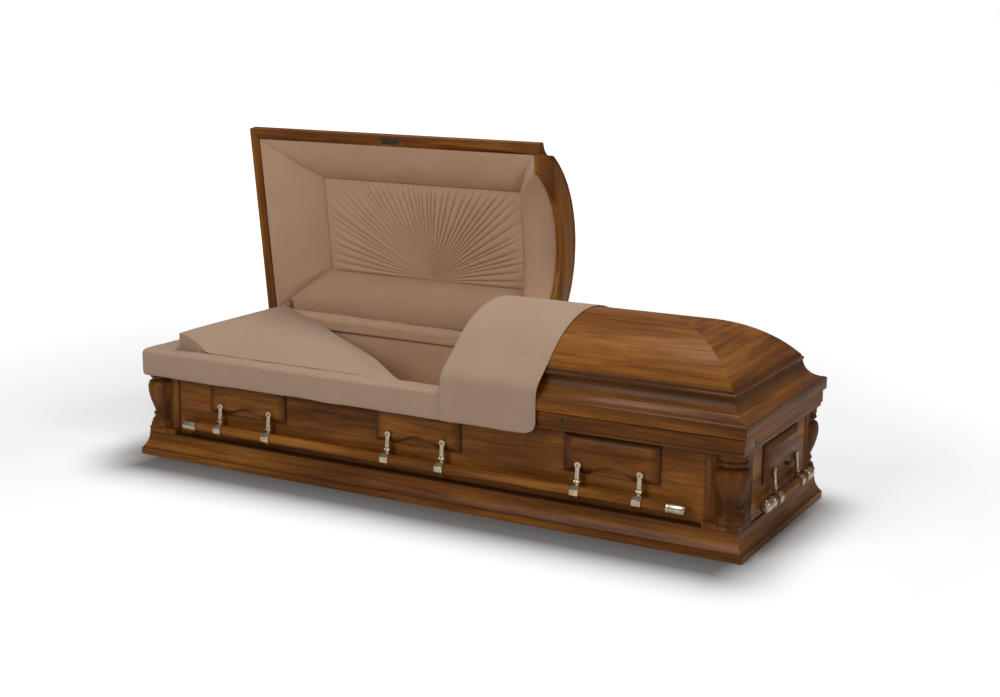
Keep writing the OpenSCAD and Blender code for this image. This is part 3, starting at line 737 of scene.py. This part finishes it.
def rearRollMesh():
    s = rollSizes
    low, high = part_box("rear_roll")
    middle, radius = (low.y + high.y) / 2, (high.y - low.y) / 2
    sections = []
    for k in range(s["steps"] + 1):
        t = k / s["steps"]
        x = low.x + (high.x - low.x) * t
        wall = high.z + s["over"] - s["fall"] * t - radius
        ease = min(1.0, 0.55 + 18 * min(t, 1 - t))
        row = []
        for m in range(s["round"]):
            a = 2 * pi * m / s["round"]
            ca, sa = cos(a), sin(a)
            fold = s["fold"] * wrinkle(x, ca * 0.1, sa * 0.1, 14, 2.0)
            fold += s["crease"] * wrinkle(x, 0, a * 0.05, 55, 9.0)
            y = middle + (radius - 0.0005 + fold) * ca
            z = wall + (radius + fold) * sa * ease if sa >= 0 else wall + (wall - low.z) * sa
            if sa < -0.25:
                y = middle + math.copysign(radius, ca) * min(1.0, abs(ca) * 1.6)
                z = max(low.z + 0.0005, z)
            row.append((x, min(y, high.y), z))
        sections.append(row)
    return sweptMesh(sections, "rearRoll")


rearRoll = finished(rearRollMesh(), "cloth_rear_roll", crepePaintedLight, "root", ["rear_roll"], 60)

wallSizes = {"thick": 0.0125, "across": 20, "puff": 0.004}


def bodyLiningMesh():
    low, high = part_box("body_lining")
    pathX = np.linspace(-wallX, wallX, 150)
    pathY = np.linspace(-wallY, wallY, 44)
    route = [(x, -wallY, 0, 1) for x in pathX[:-1]] + [(wallX, y, -1, 0) for y in pathY[:-1]]
    route += [(x, wallY, 0, -1) for x in pathX[:0:-1]] + [(-wallX, y, 1, 0) for y in pathY[:0:-1]]
    sections = []
    for x, y, nx, ny in route:
        corner = 1.0 if abs(abs(x) - wallX) < 1e-6 and abs(abs(y) - wallY) < 1e-6 else 0.0
        sx, sy = (-math.copysign(1, x), -math.copysign(1, y)) if corner else (nx, ny)
        row = [(x, y, low.z), (x, y, high.z)]
        for k in range(wallSizes["across"] + 1):
            t = k / wallSizes["across"]
            z = high.z - (high.z - low.z) * t
            puff = wallSizes["puff"] * sin(pi * min(1, t * 3)) * (t < 0.34)
            fold = 0.0032 * wrinkle(x - y, 0, z * 0.5, 13, 4.0) * rampUp(t, 0.1, 0.4)
            depth = wallSizes["thick"] + (puff + min(fold, 0.002) if not corner else 0)
            edge = 0.004 * (k == 0)
            row.append((x + sx * (depth - edge), y + sy * (depth - edge), z))
        sections.append(row)
    return sweptMesh(sections, "bodyLining", True)


finished(bodyLiningMesh(), "cloth_body_lining", crepePaintedLight, "root", ["body_lining"], 60)
print("lining done")


swell = {"use_pressure": True, "uniform_pressure_force": 1.5, "quality": 6, "mass": 0.3,
         "tension_stiffness": 12, "compression_stiffness": 12, "bending_stiffness": 0.6,
         "vertex_group_mass": "seams"}


def settle(piece, cap, frames, pinned):
    # swells a closed cloth mesh a little, and keeps its seams where they are
    mesh = piece.data
    start = np.array([v.co for v in mesh.vertices], float)
    group = piece.vertex_groups.new(name="seams")
    group.add([v.index for v in mesh.vertices if pinned(v.co)], 1.0, "REPLACE")
    cloth = piece.modifiers.new("swell", "CLOTH")
    for key, value in swell.items():
        setattr(cloth.settings, key, value)
    cloth.settings.effector_weights.gravity = 0
    scene = bpy.context.scene
    for step in range(1, frames + 1):
        scene.frame_set(step)
        bpy.context.view_layer.update()
    shape = piece.evaluated_get(bpy.context.evaluated_depsgraph_get())
    move = np.array([v.co for v in shape.data.vertices], float) - start
    piece.modifiers.remove(cloth)
    scene.frame_set(1)
    far = np.linalg.norm(move, axis=1)
    move *= (np.minimum(far, cap) / np.maximum(far, 1e-9))[:, None]
    mesh.vertices.foreach_set("co", (start + move).astype(np.float32).ravel())
    mesh.update()
    piece.vertex_groups.remove(group)


pillowSizes = {"headX": -0.944, "headTop": 0.414, "frontY": -0.288, "rearY": 0.258, "ledge": 0.3613,
               "facet": 0.105, "along": 76, "across": 46, "cap": 0.009, "rise": 0.040, "tilt": -0.006,
               "middle": (-0.56, -0.03), "bulge": 0.010, "frames": 14, "piping": 0.0016}
pillowSeam = [(-0.068, -0.288), (-0.120, -0.236), (-0.207, -0.146), (-0.352, -0.010), (-0.482, 0.094),
              (-0.605, 0.183), (-0.724, 0.258)]


def seamX(y):
    return float(np.interp(y, [q[1] for q in pillowSeam], [q[0] for q in pillowSeam]))


def pillowTop(u, v):
    # height of the pillow's top: a low front edge, a high head end, and a foot edge that slopes away
    s = pillowSizes
    x = s["headX"] + (seamX(s["frontY"] + (s["rearY"] - s["frontY"]) * v) - s["headX"]) * u
    facet = max(0.0, 1 - (x - s["headX"]) / s["facet"])
    edge = s["ledge"] + (s["headTop"] - s["ledge"]) * min(1.0, facet * 1.15)
    rise = s["rise"] * (1 - u ** 1.7) * (1 - math.exp(-v / 0.16)) + 0.004 * v
    rise = rise * (1 - 0.90 * facet)
    footSlope = 0.020 * rampUp(u, 0.80, 1.0) * (0.35 + 0.65 * rampUp(v, 0.0, 0.25))
    head = s["headTop"] + s["tilt"] * v - (edge + rise)
    return edge + rise + max(0.0, head) * max(0.0, 1 - u / 0.16) ** 1.6 - footSlope


def pillowPoint(u, v):
    s = pillowSizes
    y = s["frontY"] + (s["rearY"] - s["frontY"]) * v
    x = s["headX"] + (seamX(y) - s["headX"]) * u
    z = pillowTop(u, v)
    soft = min(1.0, 6 * u) * min(1.0, 6 * (1 - u)) * min(1.0, 8 * v)
    z += soft * (0.0045 * wrinkle(x, y, 0, 4.2, 8.0) + 0.0016 * wrinkle(x, y, 0, 13, 2.0))
    return (x, y, z)


def pillowMesh():
    s = pillowSizes
    nu, nv = s["along"], s["across"]
    points = [pillowPoint(0.5 - 0.5 * cos(pi * a / nu), (b / nv) ** 1.35)
              for a in range(nu + 1) for b in range(nv + 1)]
    low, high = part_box("pillow")
    floorZ = low.z + 0.002
    rim = gridRim(nu + 1, nv + 1)
    faces = gridFaces(nu + 1, nv + 1)
    middle = Vector(s["middle"])
    ring = rim
    for share, pull in [(0.20, 1.0), (0.55, 1.0), (1.0, 0.992)]:
        new = list(range(len(points), len(points) + len(rim)))
        for k in rim:
            x, y, z = points[k]
            fall = (z - floorZ) * share
            bulge = s["bulge"] * sin(pi * share) + (0.004 if share < 1 else 0.0)
            away = (Vector((x, y)) - middle).normalized()
            if y < -0.26:
                away = away * 0.15
                y = max(y, -0.2625) if z - fall < 0.34 else y
            x = middle.x + (x - middle.x) * pull + away.x * bulge
            y = middle.y + (y - middle.y) * pull + away.y * bulge
            points.append((max(x, low.x + 0.001), min(y, high.y), z - fall))
        faces += wallFaces(ring, new)
        ring = new
    faces.append(tuple(reversed(ring)))
    return tidied(meshFrom(points, faces, "pillow")), [points[k] for k in rim]


def seamTube(route, radius, around=8):
    # piping along a closed route
    sections = []
    turns = [2 * pi * m / around for m in range(around)]
    for before, here, ahead in zip(route[-1:] + route, route, route[1:] + route):
        along = (Vector(ahead) - Vector(before)).normalized()
        side = along.cross(Vector((0, 0, 1))).normalized()
        up = side.cross(along)
        sections.append([Vector(here) + radius * (cos(a) * side + sin(a) * up) for a in turns])
    return sweptMesh(sections, "piping", True)


def pillowPiece():
    s = pillowSizes
    shell, route = pillowMesh()
    base = placed("pillowSwell", shell)
    path = np.array(route)

    def pinned(p):
        return p.z < 0.350 or np.min(np.linalg.norm(path - np.array(p), axis=1)) < 0.004

    settle(base, s["cap"], s["frames"], pinned)
    mesh = base.data.copy()
    bpy.data.objects.remove(base)
    spaced = route[:1] + [b for a, b in zip(route, route[1:]) if math.dist(a, b) > 0.002]
    cloth = joined([mesh, seamTube(spaced, s["piping"])], "pillow")
    return finished(cloth, "cloth_pillow", crepe, "root", ["pillow"], 75)


pillow = pillowPiece()
print("pillow done")

mattressSizes = {"columns": 90, "rows": 26, "tuft": 0.14, "dip": 0.010, "edge": 0.022}


def mattressMesh():
    s = mattressSizes
    low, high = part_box("mattress")
    nx, ny = s["columns"], s["rows"]
    points = []
    for a in range(nx + 1):
        for b in range(ny + 1):
            x = low.x + (high.x - low.x) * a / nx
            y = low.y + (high.y - low.y) * b / ny
            edge = min(x - low.x, high.x - x, y - low.y, high.y - y)
            drop = s["edge"] * (1 - rampUp(edge, 0, 0.03))
            tuft = cos(2 * pi * x / s["tuft"]) * cos(2 * pi * y / s["tuft"])
            points.append((x, y, high.z - drop - s["dip"] * max(0, tuft) ** 4))
    count = len(points)
    points += [(p[0], p[1], low.z) for p in points]
    faces = gridFaces(nx + 1, ny + 1)
    faces += [tuple(k + count for k in reversed(f)) for f in faces]
    rim = gridRim(nx + 1, ny + 1)
    faces += wallFaces(rim, [k + count for k in rim])
    return tidied(meshFrom(points, faces, "mattress"))


mattress = finished(mattressMesh(), "cloth_mattress", crepePaintedLight, "root", ["mattress"], 50)

# ---- head lid's lining, shaped with the lid shut, then raised ----

lidSizes = {"rimIn": 0.0395, "frontBulge": 0.019, "rearBulge": 0.040, "headBulge": 0.016,
            "headerBulge": 0.030, "along": 60, "across": 24, "archHalf": 0.260, "archRise": 0.135,
            "edge": 0.0035}
burstLow = [lowerLid @ Vector(v.co) for v in frame["nodes"]["head_lid_sunburst"].data.vertices]
burstX = (min(p.x for p in burstLow), max(p.x for p in burstLow))
burstY = (min(p.y for p in burstLow), max(p.y for p in burstLow))
burstZ = min(p.z for p in burstLow)


def archZ(y):
    # lower edge of the header board
    half, rise = lidSizes["archHalf"], lidSizes["archRise"]
    radius = (half ** 2 + rise ** 2) / (2 * rise)
    arch = rise - radius + math.sqrt(radius ** 2 - y ** 2) if abs(y) < half else 0.0
    return rimZ + max(0.0, arch) + lidSizes["edge"]


def lidRollsMesh():
    s = lidSizes
    rim = rimZ + s["edge"]
    outer = [(s["rimIn"] - halfL, s["rimIn"] - halfW), (headerFace - 0.0006, s["rimIn"] - halfW),
             (headerFace - 0.0006, halfW - s["rimIn"]), (s["rimIn"] - halfL, halfW - s["rimIn"])]
    inner = [(burstX[0], burstY[0]), (burstX[1], burstY[0]), (burstX[1], burstY[1]), (burstX[0], burstY[1])]
    bulges = [s["frontBulge"], s["headerBulge"], s["rearBulge"], s["headBulge"]]
    sections = []
    for side in range(4):
        o0, o1 = np.array(outer[side]), np.array(outer[(side + 1) % 4])
        i0, i1 = np.array(inner[side]), np.array(inner[(side + 1) % 4])
        length = np.linalg.norm(o1 - o0)
        for k in range(s["along"]):
            t = 0.5 - 0.5 * cos(pi * k / s["along"])
            o, i = o0 + (o1 - o0) * t, i0 + (i1 - i0) * t
            edge = archZ(o[1]) if side == 1 else rim
            toSeam = min(t, 1 - t) * length
            neighbour = bulges[side - 1] if t < 0.5 else bulges[(side + 1) % 4]
            mean = 0.5 * (bulges[side] + neighbour)
            bulge = mean + (bulges[side] - mean) * rampUp(toSeam, 0.0, 0.16)
            row = []
            for m in range(s["across"] + 1):
                u = m / s["across"]
                flat = o + (i - o) * u
                z = edge + (burstZ - edge) * u
                inward = (i - o) / max(1e-6, np.linalg.norm(i - o))
                run = np.append(i - o, burstZ - edge)
                slope = run / np.linalg.norm(run)
                out = np.array([inward[0] * slope[2], inward[1] * slope[2], -np.linalg.norm(slope[:2])])
                valley = 1 - (0.12 + 0.33 * rampUp(u, 0.12, 0.8)) * (1 - rampUp(toSeam, 0, 0.035))
                puff = bulge * valley * sin(pi * u ** (1.25 if side in (0, 2) else 1.0)) ** 0.7
                crease = 0.0024 * wrinkle(flat[0], flat[1], u * 0.2, 11, 3.3) * sin(pi * u)
                gather = 0.0010 * sin(toSeam * 190 + 3 * wrinkle(flat[0], flat[1], 0, 6))
                gather *= (1 - rampUp(toSeam, 0, 0.10)) * sin(pi * u)
                p = np.append(flat, z) + out * (puff + crease + gather)
                row.append(tuple(p))
            back = max(burstZ, edge) + 0.0035
            row.append((i[0], i[1], back))
            half = 0.4 * i + 0.6 * o
            row.append((half[0], half[1], back if side == 1 else burstZ * 0.6 + edge * 0.4 + 0.004))
            row.append((o[0], o[1], edge + 0.003))
            sections.append(row)
    return raised(sweptMesh(sections, "lidRolls", True))


finished(lidRollsMesh(), "cloth_lid_rolls", crepePaintedLight, "head_lid", ["head_lid_rolls"], 55)

burstSizes = {"pleats": 46, "perPleat": 10, "rings": 54, "height": 0.0062, "slope": 0.46, "hubX": -0.405,
              "hub": 0.022, "edge": 0.0004, "seed": 7}


def sunburstMesh():
    # pleats fan out over half a turn from the edge on the hinge side, each fading at its own distance
    s = burstSizes
    rng = np.random.default_rng(s["seed"])
    widths = rng.uniform(0.65, 1.35, s["pleats"])
    bounds = np.concatenate([[0], np.cumsum(widths)]) / widths.sum() * pi
    strength = rng.uniform(0.55, 1.0, s["pleats"])
    reach = rng.uniform(0.55, 1.25, s["pleats"])
    cx, cy = s["hubX"], burstY[1] - 0.0006
    x0, x1, y0 = burstX[0] + s["edge"], burstX[1] - s["edge"], burstY[0] + s["edge"]
    columns = s["pleats"] * s["perPleat"] + 1
    points = []
    for ring in range(s["rings"] + 1):
        r = ring / s["rings"]
        for k in range(columns):
            pleat = min(s["pleats"] - 1, k // s["perPleat"])
            phase = k / s["perPleat"] - pleat
            a = bounds[pleat] + (bounds[pleat + 1] - bounds[pleat]) * phase
            dx, dy = cos(a), -sin(a)
            walls = ((x1 - cx, dx), (cx - x0, -dx), (cy - y0, -dy))
            far = min(gap / toward for gap, toward in walls if toward > 1e-9)
            d = s["hub"] + (far - s["hub"]) * r ** 1.25 if r > 0 else 0.0
            width = d * (bounds[pleat + 1] - bounds[pleat])
            ridge = sin(pi * phase) ** 0.6 if 0 < phase < 1 else 0.0
            fade = 1 - rampUp(d, 0.14 + 0.20 * reach[pleat], 0.32 + 0.30 * reach[pleat])
            edge = 1 - 0.75 * rampUp(r, 0.88, 1.0)
            height = min(s["slope"] * width, s["height"] * (0.8 + 0.6 * strength[pleat]))
            height *= ridge * (0.12 + 0.88 * fade) * edge
            sag = 0.004 * sin(pi * r) + 0.0014 * wrinkle(d * dx, d * dy, 0, 18, 2) * edge
            points.append((cx + d * dx, cy + d * dy, burstZ - 0.0006 - height - max(0.0, sag) * 0.5))
    faces = gridFaces(s["rings"] + 1, columns)
    rim = gridRim(s["rings"] + 1, columns)[:1 - columns]
    start = len(points)
    points += [(points[k][0], points[k][1], burstZ + 0.003) for k in rim]
    for k in range(len(rim)):
        n = (k + 1) % len(rim)
        faces.append((rim[k], rim[n], start + n, start + k))
    faces.append(tuple(start + k for k in range(len(rim))))
    return raised(tidied(meshFrom(points, faces, "sunburst")))


finished(sunburstMesh(), "cloth_sunburst", crepePaintedLight, "head_lid", ["head_lid_sunburst"], 70)
footLining = refinedMesh("foot_lid_lining", "footLidLining", 0)
finished(footLining, "cloth_foot_lid_lining", crepePaintedLight, "foot_lid", ["foot_lid_lining"], 20)
print("lid linings done")

throwSizes = {"clear": 0.0026, "corner": 0.036, "leftCorner": 0.006, "thick": 0.0022, "columns": 66,
              "step": 0.0075, "wave": 0.0030, "lip": 0.062, "stitches": 0.014}


def rounded(points, cut, steps=6):
    # each sharp corner of the route turned into a short curve
    made = [Vector(points[0])]
    for before, here, after in zip(points, points[1:], points[2:]):
        a, b, c = Vector(before), Vector(here), Vector(after)
        if (b - a).angle(c - b, 0.0) < math.radians(4):
            made.append(b)
            continue
        reach = min(cut, (b - a).length * 0.45, (c - b).length * 0.45)
        start, stop = b + (a - b).normalized() * reach, b + (c - b).normalized() * reach
        for k in range(steps + 1):
            t = k / steps
            made.append(start * (1 - t) ** 2 + b * 2 * t * (1 - t) + stop * t * t)
    made.append(Vector(points[-1]))
    return made


def throwRoute():
    # (y, z) from the front hem over the lid to the lip on the hinge side; it leaves the crown along its slope
    s = throwSizes
    out = halfW + s["clear"]
    lip = rimZ + s["lip"]
    radius = crownRadius + s["clear"]
    widest = math.acos((crownFoot.z + 0.020 - crownMid) / radius)
    arc = [(radius * sin(a), crownMid + radius * cos(a)) for a in np.linspace(-widest, widest, 60)]
    knee = (crownFoot.y - 0.0040, crownFoot.z + 0.0050)
    front = [(-out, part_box("throw")[0].z), (-out, lip), knee]
    back = [(-knee[0], knee[1]), (out, lip), (out, rimZ + 0.006)]
    return rounded(rounded(front + arc + back, 0.030), 0.012)


def evenly(route, step):
    lengths = [0.0]
    for a, b in zip(route, route[1:]):
        lengths.append(lengths[-1] + (b - a).length)
    count = max(2, round(lengths[-1] / step))
    goals = np.linspace(0, lengths[-1], count + 1)
    first, second = (np.interp(goals, lengths, [p[axis] for p in route]) for axis in (0, 1))
    return list(zip(first.tolist(), second.tolist())), lengths[-1]


def throwPiece():
    s = throwSizes
    low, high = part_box("throw")
    left, right = low.x - 0.0005, high.x
    route, length = evenly(throwRoute(), s["step"])
    rows = len(route)
    shares = np.linspace(0, 1, s["columns"] + 1)
    points = []
    for n, (y, z) in enumerate(route):
        along = n * length / (rows - 1)
        insets = [c - math.sqrt(max(0.0, c ** 2 - (c - min(along, c)) ** 2))
                  for c in (s["leftCorner"], s["corner"])]
        before, after = Vector(route[max(0, n - 1)]), Vector(route[min(rows - 1, n + 1)])
        run = (after - before).normalized()
        for share in shares:
            x = left + insets[0] + (right - left - sum(insets)) * share
            hang = 1 - rampUp(along, 0.03, 0.14)
            wave = s["wave"] * sin(2 * pi * (x - left) / 0.19 + 0.8) * hang
            wave += 0.0016 * wrinkle(x, along, 0, 13, 5.5) * (0.35 + 0.65 * hang)
            edge = min(x - left, right - x, along)
            seam = -0.0005 * math.exp(-((edge - 0.012) / 0.0022) ** 2)
            lift = max(wave, -0.0012) + seam
            points.append((x, y - run.y * lift, z + run.x * lift))
    faces = gridFaces(rows, len(shares))
    mesh = meshFrom(points, faces, "throw")
    piece = finished(mesh, "cloth_throw", crepe, "foot_lid", ["throw"], 80)
    bm = bmesh.new()
    bm.from_mesh(mesh)
    if sum(f.normal.z * f.calc_area() for f in bm.faces) < 0:
        bmesh.ops.reverse_faces(bm, faces=bm.faces)
    bm.to_mesh(mesh)
    bm.free()
    solid = piece.modifiers.new("thickness", "SOLIDIFY")
    solid.thickness = s["thick"]
    solid.offset = 0.0
    return piece


throw = throwPiece()


def throwHem():
    # stitches run beside the hem, on the outer face of the throw
    s = throwSizes
    columns = s["columns"] + 1
    inset = 2
    skip = round(s["stitches"] / s["step"])
    points = [v.co + v.normal * (s["thick"] / 2 + 0.0001) for v in throw.data.vertices]
    grid = [points[start:start + columns] for start in range(0, len(points), columns)]
    side = [row[inset] for row in grid[:skip:-1]]
    return [side + grid[skip][inset:-inset] + [row[-inset - 1] for row in grid[skip:]]]


hemStitches = repeated(throwHem(), crepe, stitchSizes)
finished(hemStitches, "cloth_throw_stitches", crepe, "foot_lid", (), 30)

bootSizes = {"radius": 0.012, "ruffles": 7, "rows": 40, "round": 36, "lean": (-0.006, 0.008)}


def bootMesh():
    s = bootSizes
    low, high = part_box("support_boot")
    middle = (low + high) / 2
    leanX, leanY = s["lean"]
    sections = []
    for k in range(s["rows"] + 1):
        t = k / s["rows"]
        z = low.z + 0.0004 + (high.z - low.z - 0.0004) * t
        pinch = 0.72 + 0.28 * abs(sin(pi * t * 4.2 + 0.4)) ** 0.6
        row = []
        for m in range(s["round"]):
            a = 2 * pi * m / s["round"]
            ruffle = 1 + 0.10 * sin(s["ruffles"] * a + 5 * t)
            ruffle += 0.12 * wrinkle(cos(a), sin(a), t * 4, 1.6, 3)
            r = s["radius"] * pinch * ruffle * (0.35 if k in (0, s["rows"]) else 1)
            row.append((middle.x + r * cos(a) + leanX * t, middle.y + r * sin(a) + leanY * t, z))
        sections.append(row)
    return sweptMesh(sections, "boot")


boot = finished(bootMesh(), "cloth_support_boot", crepe, "root", ["support_boot"], 60)

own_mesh(band)
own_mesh(rearRoll)
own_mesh(pillow)
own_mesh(boot)
print("cloth done")

# ---- floor, lights and camera ----

# shade is the colour of a painted soft shadow round the base; middle, half and blur give its place, size and
# softness, depth its strength
floorLook = {"lit": colour(1.22, 1.22, 1.22), "shade": colour(0.09, 0.085, 0.08), "side": 30,
             "bounce": colour(0.75, 0.75, 0.75), "middle": (0.02, -0.10, 0.0), "half": (1.00, 0.36, 1.0),
             "blur": 0.27, "depth": 0.85}
corners = [(x * floorLook["side"], y * floorLook["side"], 0) for x, y in ((-1, -1), (1, -1), (1, 1), (-1, 1))]
floor = placed("floor", meshFrom(corners, [(0, 1, 2, 3)], "floor"))
f = Finish("paleFloor")
# what the camera sees of the floor is brighter than the light it throws back, with a painted soft shadow by
# the base
seen = f.node("LightPath", {}, out="Is Camera Ray")
away = f.vectorMath("LENGTH", f.place(), out="Value")
spread = f.vectorMath("ABSOLUTE", f.vectorMath("SUBTRACT", f.place(), floorLook["middle"]))
outside = f.vectorMath("MAXIMUM", f.vectorMath("SUBTRACT", spread, floorLook["half"]), (0.0, 0.0, 0.0))
gap = f.vectorMath("LENGTH", outside, out="Value")
shade = f.span(gap, 0.0, floorLook["blur"], 1.0, 0.0) ** 1.8 * floorLook["depth"]
shown = f.mix(shade, floorLook["lit"], floorLook["shade"])
f.shade({"Base Color": f.mix(seen, floorLook["bounce"], shown), "Roughness": 0.9, "Specular IOR Level": 0.0,
         "Emission Color": colour(1, 1, 1), "Emission Strength": seen * f.span(away, 1.6, 5.0)})
floor.data.materials.append(f.material)

lightLook = {
    "overhead": {"at": (0.4, 0.8, 4.4), "aim": (0.0, 0.0, 0.3), "size": 2.4, "power": 104},
    "right": {"at": (4.4, -1.6, 2.2), "aim": (0.4, 0.0, 0.3), "size": 2.4, "power": 32},
    "front": {"at": (-1.0, -4.2, 3.0), "aim": (-0.2, 0.0, 0.45), "size": 2.6, "power": 82},
}
for name, look in lightLook.items():
    light = bpy.data.lights.new(name, "AREA")
    light.shape = "DISK"
    light.size = look["size"]
    light.energy = look["power"]
    lamp = placed(name, light)
    lamp.location = look["at"]
    lamp.rotation_euler = (Vector(look["aim"]) - Vector(look["at"])).to_track_quat("-Z", "Y").to_euler()

world = bpy.data.worlds.new("studio")
world.use_nodes = True
studio = world.node_tree
backdrop = studio.nodes["Background"]
backdrop.inputs["Color"].default_value = colour(1.0, 1.0, 1.0)
brightness = studio.nodes.new("ShaderNodeMapRange")
studio.links.new(studio.nodes.new("ShaderNodeLightPath").outputs["Is Camera Ray"], brightness.inputs["Value"])
brightness.inputs["To Min"].default_value = 0.17
brightness.inputs["To Max"].default_value = 1.0
studio.links.new(brightness.outputs["Result"], backdrop.inputs["Strength"])
bpy.context.scene.world = world
bpy.context.scene.view_settings.view_transform = "Standard"

cameraLook = {"azimuth": 28.82, "elevation": 12.17, "roll": 0.62, "away": 4.892, "lens": 55.83,
              "target": (0.1124, 0.0, 0.4307)}
azimuth, elevation, roll = (math.radians(cameraLook[k]) for k in ("azimuth", "elevation", "roll"))
flat = cos(elevation)
back = Vector((sin(azimuth) * flat, -cos(azimuth) * flat, sin(elevation)))
side = (-back).cross(Vector((0, 0, 1))).normalized()
above = back.cross(side)
right = side * cos(roll) + above * sin(roll)
turned = Matrix((right, above * cos(roll) - side * sin(roll), back)).transposed().to_4x4()
cameraData = bpy.data.cameras.new("camera")
cameraData.lens = cameraLook["lens"]
cameraData.sensor_width = 36
camera = placed("camera", cameraData)
camera.matrix_world = Matrix.Translation(Vector(cameraLook["target"]) + back * cameraLook["away"]) @ turned
bpy.context.scene.camera = camera
print("camera and lights set")
